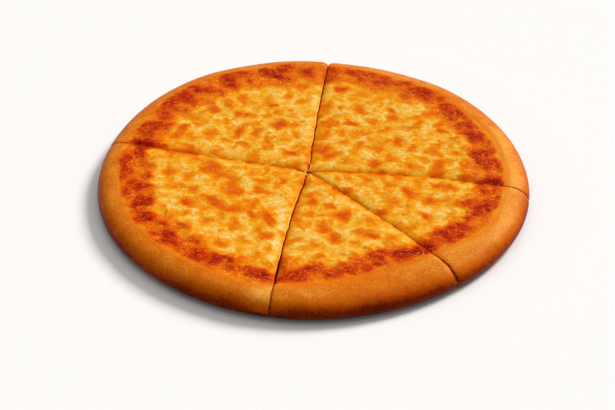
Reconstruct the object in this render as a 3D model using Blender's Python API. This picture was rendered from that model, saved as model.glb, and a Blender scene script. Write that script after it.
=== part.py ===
"""A thick-crust pizza with browned cheese, cut into five slices that still keep the round shape.

The model stands on the XY plane with +Z up, in metres, and its origin is the centre of the
underside. Each slice is three solids that lie on each other: the bread with its puffy rim,
a thin layer of sauce and the melted cheese. Every solid is swept round the point where the
cuts cross: a closed section of rings, out along the top and back along the base, is repeated
in columns from one cut to the next.
"""

import math
import random

import bmesh
import bpy

# Whole pizza
RADIUS = 0.150
OUTLINE_WAVES = ((2, 0.0008, 8), (3, 0.00086, -4), (4, 0.0005, -162), (5, 0.0007, 102))
CUT_CENTRE = (-0.0035, -0.0018)
KERF = 0.0012
GAP = 0.0003

# Each cut: its direction in degrees where it starts and as seen at the rim, and how deep its
# edges round. A cut that curves is straight between the bends, which are rings of every solid.
CUTS = (
    (85.5, 84.3, 0.0020),
    (168.6, 168.2, 0.0010),
    (257.4, 261.2, 0.0010),
    (313.0, 310.8, 0.0011),
    (359.0, 351.6, 0.0012),
)
BEND_REACHES = (0.040, 0.085)
CUT_OVERRUN = 0.010

# Bread
BASE_THICKNESS = 0.0090
RIM_HEIGHT = 0.0163
RIM_WAVES = ((3, 0.0003, 40), (5, 0.0003, 200), (8, 0.0002, 10))
BULGE_HEIGHT = 0.0065
CONTACT_RADIUS = 0.1415
RIDGE_SHARE = 0.28
RIM_RISE = 0.0055

# Sauce and cheese
CHEESE_EDGE = 0.1305
EDGE_WAVES = ((4, 0.0007, 20), (9, 0.0008, 250), (14, 0.0008, 70))
FRONT_ANGLE = 293
FRONT_SPAN = 38
FRONT_DIP = 0.010
SAUCE_THICKNESS = 0.0012
SAUCE_FRINGE = 0.0020
CHEESE_MIDDLE = 0.0136
CHEESE_RISE = 0.0014
CHEESE_LIP = 0.0009
CHEESE_ROLL = 0.007
SHOULDER_WIDTH = 0.0052
CHEESE_SHOULDER = 0.0016

# Blisters where the cheese has browned along the rim
BLISTER_COUNT = 84
BLISTER_BAND = (0.004, 0.019)
BLISTER_RADIUS = (0.0045, 0.0080)
BLISTER_HEIGHT = (0.0006, 0.0015)
BLISTER_SEED = 12

# Fineness of the faces
COLUMN_DEGREES = 5.0
EDGE_COLUMNS = (0.0015, 0.0045)
TIP_ROUNDING = {"crust": 0.0012, "sauce": 0.0018, "cheese": 0.0028}


def wave(waves, angle):
    """The sum of some cosine waves round the pizza; each has a count, a size and a phase."""
    return sum(
        size * math.cos(count * angle + math.radians(phase)) for count, size, phase in waves
    )


def outline(angle):
    return RADIUS + wave(OUTLINE_WAVES, angle)


def cheese_edge(angle):
    """How far out the cheese reaches, as a share of a round pizza of the full radius."""
    away = (math.degrees(angle) - FRONT_ANGLE + 180) % 360 - 180
    bell = 0.5 + 0.5 * math.cos(math.pi * min(1.0, abs(away) / FRONT_SPAN))
    return CHEESE_EDGE - FRONT_DIP * bell + wave(EDGE_WAVES, angle)


def rounding(distance, width):
    """1 at an edge, falling to 0 a width away along a quarter ellipse."""
    left = min(1.0, max(0.0, 1 - distance / width))
    return 1 - math.sqrt(1 - left * left)


def smooth(share):
    share = min(1.0, max(0.0, share))
    return share * share * (3 - 2 * share)


def bread_top(reach, angle, edge_distance, drop):
    edge = cheese_edge(angle)
    start = edge - RIM_RISE
    ridge = edge + RIDGE_SHARE * (RADIUS - edge)
    height = RIM_HEIGHT + wave(RIM_WAVES, angle)
    rise = smooth((reach - start) / (ridge - start))
    level = BASE_THICKNESS + (height - BASE_THICKNESS) * rise
    if reach > ridge:
        out = min(1.0, (reach - ridge) / (RADIUS - ridge))
        level = BULGE_HEIGHT + (height - BULGE_HEIGHT) * math.sqrt(1 - out * out)
    return level - drop * rise * rounding(edge_distance, SHOULDER_WIDTH)


def bread_base(reach):
    out = max(0.0, (reach - CONTACT_RADIUS) / (RADIUS - CONTACT_RADIUS))
    return BULGE_HEIGHT * (1 - math.sqrt(max(0.0, 1 - out * out)))


def scatter_blisters():
    """Round swellings in a ragged band along the cheese's edge: place, radius and height."""
    draw = random.Random(BLISTER_SEED)
    blisters = []
    for number in range(BLISTER_COUNT):
        angle = 2 * math.pi * (number + draw.uniform(-0.4, 0.4)) / BLISTER_COUNT
        reach = cheese_edge(angle) - draw.uniform(*BLISTER_BAND)
        place = (reach * math.cos(angle), reach * math.sin(angle))
        blisters.append((place, draw.uniform(*BLISTER_RADIUS), draw.uniform(*BLISTER_HEIGHT)))
    return blisters


BLISTERS = scatter_blisters()


def swelling(point):
    """How far the blisters lift the cheese at a point."""
    lift = 0.0
    for place, radius, height in BLISTERS:
        away = math.dist(point, place) / radius
        if away < 1:
            lift = max(lift, height * (1 - away * away) ** 2)
    return lift


def pizza_angle(direction, distance):
    """The angle about the pizza's centre of a point given from where the cuts cross."""
    y = CUT_CENTRE[1] + distance * math.sin(direction)
    x = CUT_CENTRE[0] + distance * math.cos(direction)
    return math.atan2(y, x)


def outer_distance(direction):
    """From where the cuts cross to the outline, along a direction."""
    ahead = CUT_CENTRE[0] * math.cos(direction) + CUT_CENTRE[1] * math.sin(direction)
    aside = CUT_CENTRE[0] ** 2 + CUT_CENTRE[1] ** 2 - ahead * ahead
    distance = RADIUS
    for _ in range(3):
        radius = outline(pizza_angle(direction, distance))
        distance = -ahead + math.sqrt(radius * radius - aside)
    return distance


class Cut:
    """A cut from the crossing to the rim, as corners given by distance and direction."""

    def __init__(self, inner, outer, rounded):
        self.rounded = rounded
        self.corners = []
        for reach in (0.0, *BEND_REACHES, RADIUS + CUT_OVERRUN):
            direction = math.radians(inner + (outer - inner) * reach / RADIUS)
            self.corners.append((reach * outer_distance(direction) / RADIUS, direction))

    def direction_at(self, distance):
        """The direction, seen from the crossing, of the cut's point at a distance."""
        ends = zip(self.corners, self.corners[1:])
        start, end = next(pair for pair in ends if distance <= pair[1][0])
        if start[0] == 0:
            return end[1]
        # Both ends as points with the start's direction as the X axis
        along = end[0] * math.cos(end[1] - start[1]) - start[0]
        aside = end[0] * math.sin(end[1] - start[1])
        length = math.hypot(along, aside)
        ahead = start[0] * along / length
        further = math.sqrt(ahead * ahead + distance * distance - start[0] * start[0]) - ahead
        return start[1] + math.asin(further * aside / length / distance)


class Slice:
    """One slice between two cuts, with the rings and columns that its solids share."""

    def __init__(self, first, second):
        self.first = first
        self.second = second
        low, high = first.direction_at(RADIUS), second.direction_at(RADIUS)
        turn = (high - low) % (2 * math.pi)
        self.columns = round(math.degrees(turn) / COLUMN_DEGREES) + 2 * len(EDGE_COLUMNS)
        # Near the crossing the slice is a plain wedge
        inner = first.direction_at(BEND_REACHES[0] / 2)
        self.half = (second.direction_at(BEND_REACHES[0] / 2) - inner) % (2 * math.pi) / 2
        self.middle = inner + self.half
        # Beyond this distance the widest rounded tip has run into its straight sides
        self.straight = (KERF / 2 + max(TIP_ROUNDING.values())) / math.tan(self.half) + 0.002

    def side_angles(self, distance):
        """The directions of both cut faces at a distance from the cuts' crossing."""
        inset = math.asin(KERF / 2 / distance)
        first = self.first.direction_at(distance)
        second = self.second.direction_at(distance)
        if second < first:
            second += 2 * math.pi
        return first + inset, second - inset

    def column_places(self, width):
        """Distances across the slice: close together beside the cuts, then even."""
        step = width / self.columns
        near = [0.0] + [min(d, step * (i + 1)) for i, d in enumerate(EDGE_COLUMNS)]
        inner = self.columns - 2 * len(EDGE_COLUMNS)
        span = width - 2 * near[-1]
        middle = [near[-1] + span * i / inner for i in range(1, inner)]
        return near + middle + [width - d for d in reversed(near)]

    def tip(self, layer, height):
        """The innermost ring, round the slice's rounded tip."""
        radius = TIP_ROUNDING[layer]
        away = (KERF / 2 + radius) / math.sin(self.half)
        centre_x = CUT_CENTRE[0] + away * math.cos(self.middle)
        centre_y = CUT_CENTRE[1] + away * math.sin(self.middle)
        ring = []
        for column in range(self.columns + 1):
            share = 2 * column / self.columns - 1
            angle = self.middle + math.pi - share * (math.pi / 2 - self.half)
            x = centre_x + radius * math.cos(angle)
            y = centre_y + radius * math.sin(angle)
            ring.append((x, y, height))
        return ring

    def ring(self, reach_of, height_of):
        """One ring of points: reach_of gives its reach at an angle, height_of its heights."""
        guess = max(self.straight, reach_of(self.middle))
        width = guess * 2 * self.half
        ring = []
        for place in self.column_places(width):
            share = place / width
            beside = min(place, width - place)
            drop = self.first.rounded if share < 0.5 else self.second.rounded
            distance = guess
            for _ in range(3):
                low, high = self.side_angles(distance)
                direction = low + (high - low) * share
                angle = pizza_angle(direction, distance)
                reach = max(self.straight, reach_of(angle))
                notch = drop * rounding(beside, SHOULDER_WIDTH)
                notch *= smooth((reach - CHEESE_EDGE) / (RADIUS - CHEESE_EDGE))
                distance = reach * (outer_distance(direction) - notch) / RADIUS
            x = CUT_CENTRE[0] + distance * math.cos(direction)
            y = CUT_CENTRE[1] + distance * math.sin(direction)
            ring.append((x, y, height_of(reach, angle, beside, drop, (x, y))))
        return ring


def fixed(reach):
    return lambda angle: reach


def from_edge(offset):
    return lambda angle: cheese_edge(angle) + offset


def between(reach, back, share):
    """A ring part of the way from a round one to one that follows the cheese's edge."""
    return lambda angle: reach * (1 - share) + (cheese_edge(angle) - back) * share


# Rings that the three layers share, so that they stay a gap apart all the way
SHARED_RINGS = [fixed(reach) for reach in (0.0, *BEND_REACHES)]
SHARED_RINGS += [from_edge(offset) for offset in (-0.008, -RIM_RISE, -0.0028, 0.0)]


def bread_level(lift):
    return lambda reach, angle, beside, drop, point: bread_top(reach, angle, beside, drop) + lift


def cheese_level(reach, angle, beside, drop, point):
    """The melted top: it rises towards the rim, rolls down at the cuts and thins at its edge."""
    edge = cheese_edge(angle)
    level = CHEESE_MIDDLE + CHEESE_RISE * smooth(reach / (edge - 0.004))
    level += swelling(point)
    level -= CHEESE_SHOULDER * rounding(beside, SHOULDER_WIDTH)
    under = bread_top(reach, angle, beside, drop) + SAUCE_THICKNESS + 2 * GAP
    thin = rounding(edge - reach, CHEESE_ROLL)
    return under + CHEESE_LIP * thin + max(CHEESE_LIP, level - under) * (1 - thin)


def material(name, colour, roughness):
    finish = bpy.data.materials.new(name)
    finish.use_nodes = True
    shader = finish.node_tree.nodes["Principled BSDF"]
    shader.inputs["Base Color"].default_value = (*colour, 1)
    shader.inputs["Roughness"].default_value = roughness
    shader.inputs["Metallic"].default_value = 0.0
    finish.diffuse_color = (*colour, 1)
    return finish


def closed_shell(name, top, base, finish, parent, bends=(2, 3)):
    """A solid whose section runs out along the top rings and back along the base rings.

    Its cut faces fold at the bends: these rings of the top, and the third and fourth of the base.
    """
    bm = bmesh.new()
    upper = [[bm.verts.new(point) for point in ring] for ring in top]
    lower = [[bm.verts.new(point) for point in ring] for ring in base]
    section = upper + lower[::-1]
    for ring, following in zip(section, section[1:] + section[:1]):
        for column in range(len(ring) - 1):
            corners = (ring[column], following[column], following[column + 1], ring[column + 1])
            bm.faces.new(corners)
    top_folds = (0, *bends, len(upper) - 1)
    base_folds = (0, 2, 3, len(lower) - 1)
    for i in range(3):
        flat = upper[top_folds[i] : top_folds[i + 1] + 1]
        flat += lower[base_folds[i] : base_folds[i + 1] + 1][::-1]
        bm.faces.new([ring[0] for ring in flat])
        bm.faces.new([ring[-1] for ring in reversed(flat)])
    bmesh.ops.recalc_face_normals(bm, faces=bm.faces)
    mesh = bpy.data.meshes.new(name)
    bm.to_mesh(mesh)
    bm.free()
    mesh.materials.append(finish)
    mesh.shade_smooth()
    mesh.set_sharp_from_angle(angle=math.radians(50))
    solid = bpy.data.objects.new(name, mesh)
    solid.parent = parent
    bpy.context.collection.objects.link(solid)


def rim_rings():
    """The bread's own rings, from the sauce's edge over the ridge to the widest point."""
    shares = (0.17, RIDGE_SHARE, 0.50, 0.70, 0.86, 0.96, 1.0)
    return [from_edge(SAUCE_FRINGE)] + [between(RADIUS, 0.0, 1 - share) for share in shares]


def add_crust(piece, number, finish, parent):
    top = [piece.tip("crust", BASE_THICKNESS)]
    top += [piece.ring(reach, bread_level(0.0)) for reach in SHARED_RINGS + rim_rings()]
    base = [piece.tip("crust", 0.0)]
    for out in (0.0, *BEND_REACHES, CONTACT_RADIUS, 0.1455, 0.1480, 0.1495):
        base.append(piece.ring(fixed(out), lambda reach, *rest: bread_base(reach)))
    closed_shell(f"crust_{number}", top, base, finish, parent)


def add_sauce(piece, number, finish, parent):
    rings = SHARED_RINGS + [from_edge(SAUCE_FRINGE)]
    low = BASE_THICKNESS + GAP
    base = [piece.tip("sauce", low)] + [piece.ring(reach, bread_level(GAP)) for reach in rings]
    lift = GAP + SAUCE_THICKNESS
    top = [piece.tip("sauce", low + SAUCE_THICKNESS)]
    top += [piece.ring(reach, bread_level(lift)) for reach in rings]
    closed_shell(f"sauce_{number}", top, base, finish, parent)


def add_cheese(piece, number, finish, parent):
    lift = 2 * GAP + SAUCE_THICKNESS
    base = [piece.tip("cheese", BASE_THICKNESS + lift)]
    base += [piece.ring(reach, bread_level(lift)) for reach in SHARED_RINGS]
    near, far = BEND_REACHES
    rings = [fixed(piece.straight + (near - piece.straight) * share) for share in (0, 0.3, 0.65, 1)]
    rings += [fixed(near + (far - near) * share) for share in (0.2, 0.4, 0.6, 0.8, 1)]
    rings += [between(far, BLISTER_BAND[1], share) for share in (0.36, 0.7)]
    rings += [from_edge(-back) for back in (0.019, 0.015, 0.0115, 0.008, 0.005, 0.0022, 0.0)]
    top = [piece.tip("cheese", CHEESE_MIDDLE - CHEESE_SHOULDER)]
    top += [piece.ring(reach, cheese_level) for reach in rings]
    closed_shell(f"cheese_{number}", top, base, finish, parent, bends=(4, 9))


for thing in list(bpy.data.objects):
    bpy.data.objects.remove(thing, do_unlink=True)

bread = material("baked_bread", (0.66, 0.26, 0.045), 0.5)
sauce = material("tomato_sauce", (0.42, 0.045, 0.008), 0.4)
cheese = material("browned_cheese", (0.85, 0.42, 0.06), 0.38)

pizza = bpy.data.objects.new("pizza", None)
bpy.context.collection.objects.link(pizza)

cuts = [Cut(*cut) for cut in CUTS]
for number, (first, second) in enumerate(zip(cuts[-1:] + cuts[:-1], cuts), start=1):
    piece = Slice(first, second)
    add_crust(piece, number, bread, pizza)
    add_sauce(piece, number, sauce, pizza)
    add_cheese(piece, number, cheese, pizza)
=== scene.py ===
"""A thick-crust pizza with browned cheese, cut into five slices that still keep the round shape.

The camera, the floor and the light come first, then the bread, the sauce and the cheese of the
slices, and last the small things that lie on them. Sizes are in metres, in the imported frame.
"""

import math

import bmesh
import bpy
import numpy as np
from mathutils import Matrix, Vector
from mathutils.bvhtree import BVHTree


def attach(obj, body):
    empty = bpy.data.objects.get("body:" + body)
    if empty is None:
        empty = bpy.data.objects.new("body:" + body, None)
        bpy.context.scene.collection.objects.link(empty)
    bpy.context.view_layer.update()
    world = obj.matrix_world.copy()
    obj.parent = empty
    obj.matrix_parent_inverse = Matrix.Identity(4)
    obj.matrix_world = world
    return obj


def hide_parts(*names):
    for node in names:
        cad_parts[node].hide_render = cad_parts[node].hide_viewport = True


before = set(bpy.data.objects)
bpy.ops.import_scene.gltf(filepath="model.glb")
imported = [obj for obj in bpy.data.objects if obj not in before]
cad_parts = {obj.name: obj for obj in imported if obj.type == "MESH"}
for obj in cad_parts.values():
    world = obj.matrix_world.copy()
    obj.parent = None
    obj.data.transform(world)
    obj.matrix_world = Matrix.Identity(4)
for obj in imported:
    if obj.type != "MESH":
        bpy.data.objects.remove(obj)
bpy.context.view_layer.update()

# Camera
# It looks down on the pizza from the front, as in the photograph: how high it stands, how far
# away it is, and where on the 615 x 410 picture the middle of the underside lies.
CAMERA_ELEVATION = math.radians(35.86)
CAMERA_DISTANCE = 1.058
CAMERA_ROLL = math.radians(0.83)
CAMERA_LENS = 87.8
SENSOR_WIDTH = 36.0
PICTURE_WIDTH = 615
PICTURE_HEIGHT = 410
MIDDLE_AT = (312.7, 184.5)

camera = bpy.data.objects.new("camera", bpy.data.cameras.new("camera"))
camera.data.lens = CAMERA_LENS
camera.data.sensor_width = SENSOR_WIDTH
camera.data.shift_x = (PICTURE_WIDTH / 2 - MIDDLE_AT[0]) / PICTURE_WIDTH
camera.data.shift_y = (MIDDLE_AT[1] - PICTURE_HEIGHT / 2) / PICTURE_WIDTH
back = Vector((0.0, -math.cos(CAMERA_ELEVATION), math.sin(CAMERA_ELEVATION)))
turn = (-back).to_track_quat("-Z", "Y").to_matrix().to_4x4()
roll = Matrix.Rotation(CAMERA_ROLL, 4, "Z")
camera.matrix_world = Matrix.Translation(back * CAMERA_DISTANCE) @ turn @ roll
bpy.context.collection.objects.link(camera)
bpy.context.scene.camera = camera
bpy.context.scene.view_settings.view_transform = "Standard"

# Floor
# A plain pale floor, wide enough to fill the view from every side, that takes a soft shadow.
FLOOR_SIZE = 30.0
FLOOR_LOOKS = {"Base Color": (0.90, 0.90, 0.90, 1), "Roughness": 0.9, "Specular IOR Level": 0.2}


def add_mesh(name, points, faces):
    """A new object with a mesh of its own, linked into the scene."""
    mesh = bpy.data.meshes.new(name)
    mesh.from_pydata(points, [], faces)
    made = bpy.data.objects.new(name, mesh)
    bpy.context.collection.objects.link(made)
    return made


def new_finish(name, constants):
    """A material with the sockets set that are the same all over its surface."""
    finish = bpy.data.materials.new(name)
    finish.use_nodes = True
    shader = finish.node_tree.nodes["Principled BSDF"]
    for socket, value in constants.items():
        shader.inputs[socket].default_value = value
    return finish


half = FLOOR_SIZE / 2
corners = [(-half, -half, 0), (half, -half, 0), (half, half, 0), (-half, half, 0)]
floor = add_mesh("floor", corners, [(0, 1, 2, 3)])
floor.data.materials.append(new_finish("floor_paint", FLOOR_LOOKS))

# Light
# A soft key light from behind on the right, a broad weak one from above and an even pale sky.
# Each light: its name, where it shines from, its spread in degrees, its strength and its tint.
LIGHTS = (
    ("key_light", (0.70, 0.62, 0.72), 20, 3.1, (1.0, 0.97, 0.93)),
    ("top_light", (0.10, 0.30, 1.00), 70, 0.75, (1.0, 0.99, 0.97)),
)
SKY_COLOUR = (1.0, 0.995, 0.985)
SKY_STRENGTH = 0.27

for name, place, spread, power, tint in LIGHTS:
    lamp = bpy.data.lights.new(name, "SUN")
    lamp.angle = math.radians(spread)
    lamp.energy = power
    lamp.color = tint
    light = bpy.data.objects.new(name, lamp)
    light.location = place
    light.rotation_mode = "QUATERNION"
    light.rotation_quaternion = (-Vector(place)).to_track_quat("-Z", "Y")
    bpy.context.collection.objects.link(light)

sky = bpy.data.worlds.new("sky")
sky.use_nodes = True
sky_glow = sky.node_tree.nodes["Background"]
sky_glow.inputs["Color"].default_value = (*SKY_COLOUR, 1)
sky_glow.inputs["Strength"].default_value = SKY_STRENGTH
bpy.context.scene.world = sky

# Bread
# Each slice's bread is a thick, airy base with a puffy smooth rim, baked golden. Its surface is
# swept from the point where the cuts cross out over the rim, in rings and columns, and its faces
# along the cuts and underneath close it.
RADIUS = 0.150
OUTLINE_WAVES = ((2, 0.0008, 8), (3, 0.00086, -4), (4, 0.0005, -162), (5, 0.0007, 102))

# Where the cuts cross, and how wide they are where they don't gape
CUT_CENTRE = (-0.0035, -0.0018)
SLIT = 0.00022

# Each cut: its direction in degrees where it starts and at the rim, how deep its edges round,
# and how wide it gapes in the browned ring and in the rim's crust
CUTS = (
    (85.5, 84.3, 0.0020, 0.0004, 0.0007),
    (168.6, 168.2, 0.0006, 0.0, 0.0002),
    (257.4, 261.2, 0.0006, 0.0011, 0.0004),
    (313.0, 310.8, 0.0010, 0.0004, 0.0008),
    (359.0, 351.6, 0.0007, 0.0002, 0.0003),
)

# How far out the cuts bend, where their lines start and end, and how they sway: each layer's
# size and height, and from where on the sway is whole
BEND_REACHES = (0.040, 0.085)
CUT_START = 0.001
CUT_OVERRUN = 0.010
CUT_POINTS = 400
CUT_SWAYS = ((0.009, 0.00045), (0.0035, 0.00015))
SWAY_START = 0.010

# How far out a cut gapes most in the browned ring, from where on it takes its width in the
# crust, and how ragged its sides are: each layer's size and share of the width
RING_REACH = 0.116
RING_SPREAD = 0.015
CRUST_GAP_START = 0.122
CRUST_GAP_RUN = 0.012
SIDE_RAGS = ((0.004, 0.18), (0.0013, 0.12))

# The bread's section: its flat base, the rim's height and how it varies round the pizza, its
# widest point, how far out its underside is flat, its ridge's place between the cheese and the
# outline, how far inside the cheese's edge it starts to rise, and how wide its edges at a cut round
BASE_THICKNESS = 0.0090
RIM_HEIGHT = 0.0163
RIM_WAVES = ((3, 0.0003, 40), (5, 0.0003, 200), (8, 0.0002, 10))
BULGE_HEIGHT = 0.0065
CONTACT_RADIUS = 0.1415
RIDGE_SHARE = 0.28
RIM_RISE = 0.0055
SHOULDER_WIDTH = 0.0052

# The rim's lumps, each with its size, height and seed. They fade in from a little inside the
# cheese's edge, and out before the widest point; each fade has its start and its length
RIM_LUMPS = ((0.034, 0.00022, 21), (0.012, 0.00010, 22))
LUMPS_START = (0.002, 0.008)
LUMPS_END = (0.140, 0.010)

# How far out the thick cheese reaches, how that varies, and how much less it is at the front
CHEESE_EDGE = 0.1305
EDGE_WAVES = ((4, 0.0007, 20), (9, 0.0008, 250), (14, 0.0008, 70))
FRONT_ANGLE = 293
FRONT_SPAN = 38
FRONT_DIP = 0.010

# The columns' width in the middle of a slice, and how far the first ones lie from a cut
COLUMN_WIDTH = 0.0006
EDGE_COLUMNS = (0.00015, 0.0004, 0.0008, 0.0013, 0.0020, 0.0028, 0.0038, 0.0050)

# How round each layer's tip is, and how far past it the rings run from cut to cut
TIP_ROUNDING = {"crust": 0.0012, "sauce": 0.0016, "cheese": 0.0011}
TIP_MARGIN = 0.002

HILL_CELLS = 128
HILL_GAIN = 1.8


def waves(table, angle):
    """The sum of some cosine waves round the pizza; each has a count, a size and a phase."""
    return sum(size * np.cos(count * angle + math.radians(phase)) for count, size, phase in table)


def outline(angle):
    return RADIUS + waves(OUTLINE_WAVES, angle)


def smooth(share):
    share = np.clip(share, 0.0, 1.0)
    return share * share * (3 - 2 * share)


def bell(distance, width):
    """1 at no distance, falling off evenly on both sides."""
    return np.exp(-((distance / width) ** 2))


def rounding(distance, width):
    """1 at an edge, falling to 0 a width away along a quarter ellipse."""
    left = np.clip(1 - distance / width, 0.0, 1.0)
    return 1 - np.sqrt(1 - left * left)


def hills(x, y, size, seed):
    """Smooth noise over the plan, from about -1 to 1, with hills of about the given size."""
    slopes = np.random.default_rng(seed).uniform(0, 2 * math.pi, (HILL_CELLS, HILL_CELLS))
    u = (x * math.cos(seed) + y * math.sin(seed)) / size + HILL_CELLS / 2
    v = (y * math.cos(seed) - x * math.sin(seed)) / size + HILL_CELLS / 2
    column, row = np.floor(u).astype(int), np.floor(v).astype(int)
    total = 0.0
    for i in (0, 1):
        for j in (0, 1):
            slope = slopes[(column + i) % HILL_CELLS, (row + j) % HILL_CELLS]
            ahead, aside = u - column - i, v - row - j
            near = smooth(1 - np.abs(ahead)) * smooth(1 - np.abs(aside))
            total = total + near * (np.cos(slope) * ahead + np.sin(slope) * aside)
    return total * HILL_GAIN


def lumps(x, y, layers):
    """Hills in several layers, each with their size, their height and a seed."""
    return sum(hills(x, y, size, seed) * height for size, height, seed in layers)


def seeded(layers, seed):
    """Layers of a size and a height with a seed for each, counted up from the first."""
    return [(size, height, seed + i) for i, (size, height) in enumerate(layers)]


def pizza_angle(direction, distance):
    """The angle about the pizza's centre of a point given from where the cuts cross."""
    y = CUT_CENTRE[1] + distance * np.sin(direction)
    x = CUT_CENTRE[0] + distance * np.cos(direction)
    return np.arctan2(y, x)


def outer_distance(direction):
    """From where the cuts cross to the outline, along a direction, found in a few rounds."""
    ahead = CUT_CENTRE[0] * np.cos(direction) + CUT_CENTRE[1] * np.sin(direction)
    aside = CUT_CENTRE[0] ** 2 + CUT_CENTRE[1] ** 2 - ahead * ahead
    distance = RADIUS
    for _ in range(3):
        radius = outline(pizza_angle(direction, distance))
        distance = -ahead + np.sqrt(radius * radius - aside)
    return distance


def cheese_edge(angle):
    """How far out the cheese reaches, as a share of a round pizza of the full radius."""
    away = (np.degrees(angle) - FRONT_ANGLE + 180) % 360 - 180
    dip = 0.5 + 0.5 * np.cos(math.pi * np.minimum(1.0, np.abs(away) / FRONT_SPAN))
    return CHEESE_EDGE - FRONT_DIP * dip + waves(EDGE_WAVES, angle)


class Cut:
    """A cut from the crossing to the rim, straight between its bends but for a slight sway."""

    def __init__(self, inner, outer, rounded, ring_gap, crust_gap):
        self.rounded = rounded
        self.ring_gap = ring_gap
        self.crust_gap = crust_gap
        reaches = np.array((0.0, *BEND_REACHES, RADIUS + CUT_OVERRUN))
        directions = np.radians(inner + (outer - inner) * reaches / RADIUS)
        corners = reaches * outer_distance(directions) / RADIUS * np.exp(1j * directions)
        places = np.linspace(CUT_START, reaches[-1], CUT_POINTS)
        path = np.interp(places, reaches, corners)
        sway = lumps(places, 0 * places, seeded(CUT_SWAYS, int(inner)))
        path = path + sway * np.minimum(1, places / SWAY_START) * 1j * path / np.abs(path)
        self.distances = np.abs(path)
        self.directions = np.unwrap(np.angle(path))

    def direction_at(self, distance):
        return np.interp(distance, self.distances, self.directions)


class Slice:
    """One slice between two cuts, with the rings and columns that its pieces share."""

    def __init__(self, first, second, number):
        self.first = first
        self.second = second
        self.number = number
        low, high = first.direction_at(RADIUS), second.direction_at(RADIUS)
        self.columns = round((high - low) % (2 * math.pi) * CHEESE_EDGE / COLUMN_WIDTH)
        inner = first.direction_at(BEND_REACHES[0] / 2)
        self.half = (second.direction_at(BEND_REACHES[0] / 2) - inner) % (2 * math.pi) / 2
        self.middle = inner + self.half
        tip_width = SLIT / 2 + max(TIP_ROUNDING.values())
        self.straight = tip_width / math.tan(self.half) + TIP_MARGIN

    def inset(self, cut, distance, at_rim, seed):
        """Half the gap at a cut: thin, wider in the ring and, for bread, at the rim, and ragged."""
        crust = smooth((distance - CRUST_GAP_START) / CRUST_GAP_RUN) if at_rim else 0.0
        half_gap = SLIT / 2 * (1 - crust) + cut.crust_gap / 2 * crust
        half_gap += cut.ring_gap / 2 * bell(distance - RING_REACH, RING_SPREAD)
        return half_gap * (1 + lumps(distance, 0 * distance, seeded(SIDE_RAGS, seed)))

    def side_angles(self, distance, at_rim):
        """The directions of both cut faces at a distance from the cuts' crossing."""
        first = self.first.direction_at(distance)
        second = self.second.direction_at(distance)
        second = np.where(second < first, second + 2 * math.pi, second)
        seed = 10 * self.number
        low = first + np.arcsin(self.inset(self.first, distance, at_rim, seed) / distance)
        high = second - np.arcsin(self.inset(self.second, distance, at_rim, seed + 5) / distance)
        return low, high

    def column_places(self, width):
        """Distances across the slice, a row for each width: close beside the cuts, then even."""
        step = width / self.columns
        near = [np.minimum(d, step * (i + 1) / 2) for i, d in enumerate(EDGE_COLUMNS)]
        near = np.concatenate([0 * width] + near, axis=1)
        inner = self.columns - 2 * len(EDGE_COLUMNS)
        shares = np.arange(1, inner) / inner
        middle = near[:, -1:] + (width - 2 * near[:, -1:]) * shares
        return np.concatenate([near, middle, width - near[:, ::-1]], axis=1)

    def grid(self, layer, reach_of, levels, tip_rows, at_rim=False):
        """A sheet of points over the slice, from its rounded tip outward.

        reach_of gives a ring's reach from its level and the angle, and at_rim says that the cuts
        take their width in the crust. The answer is a dictionary of arrays with a row for each
        ring: x, y, reach, angle, beside (how far the nearest cut is) and drop (how deep it rounds).
        """
        level = levels[:, None]
        guess = np.maximum(self.straight, reach_of(level, self.middle))
        width = guess * 2 * self.half
        place = self.column_places(width)
        share = place / width
        beside = np.minimum(place, width - place)
        drop = np.where(share < 0.5, self.first.rounded, self.second.rounded)
        distance = guess + 0 * place
        # Directions and distances depend on each other, and settle in a few rounds
        for _ in range(4):
            low, high = self.side_angles(distance, at_rim)
            direction = low + (high - low) * share
            angle = pizza_angle(direction, distance)
            reach = np.maximum(self.straight, reach_of(level, angle))
            notch = drop * rounding(beside, SHOULDER_WIDTH)
            notch = notch * smooth((reach - CHEESE_EDGE) / (RADIUS - CHEESE_EDGE))
            distance = reach * (outer_distance(direction) - notch) / RADIUS
        x = CUT_CENTRE[0] + distance * np.cos(direction)
        y = CUT_CENTRE[1] + distance * np.sin(direction)
        rings = {"x": x, "y": y, "reach": reach, "angle": angle, "beside": beside, "drop": drop}
        tip = self.tip(TIP_ROUNDING[layer], x[0], y[0], share[0], tip_rows)
        tip["drop"] = drop[:1] + 0 * tip["x"]
        return {name: np.concatenate((tip[name], rows)) for name, rows in rings.items()}

    def tip(self, radius, x, y, share, count):
        """The rows that close a slice at its rounded tip, up to its first ring."""
        away = (SLIT / 2 + radius) / math.sin(self.half)
        centre_x = CUT_CENTRE[0] + away * math.cos(self.middle)
        centre_y = CUT_CENTRE[1] + away * math.sin(self.middle)
        bow = self.middle + math.pi + (1 - 2 * share) * (math.pi / 2 - self.half)
        t = (np.arange(count) / count)[:, None]
        tip_x = (centre_x + radius * np.cos(bow)) * (1 - t) + x * t
        tip_y = (centre_y + radius * np.sin(bow)) * (1 - t) + y * t
        from_x, from_y = tip_x - CUT_CENTRE[0], tip_y - CUT_CENTRE[1]
        distance, direction = np.hypot(from_x, from_y), np.arctan2(from_y, from_x)
        off = np.abs((direction - self.middle + math.pi) % (2 * math.pi) - math.pi)
        to_side = distance * np.sin(np.maximum(0, self.half - off)) - SLIT / 2
        to_tip = radius - np.hypot(tip_x - centre_x, tip_y - centre_y)
        in_bow = distance * np.cos(off) < away
        return {
            "x": tip_x,
            "y": tip_y,
            "reach": distance / outer_distance(direction) * RADIUS,
            "angle": np.arctan2(tip_y, tip_x),
            "beside": np.maximum(0, np.where(in_bow, to_tip, to_side)),
        }


def by_side(at, pair):
    """One number on the columns nearer to a slice's first cut, and another on the rest."""
    columns = at["x"].shape[1]
    return np.where(np.arange(columns) < columns / 2, *pair)


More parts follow.
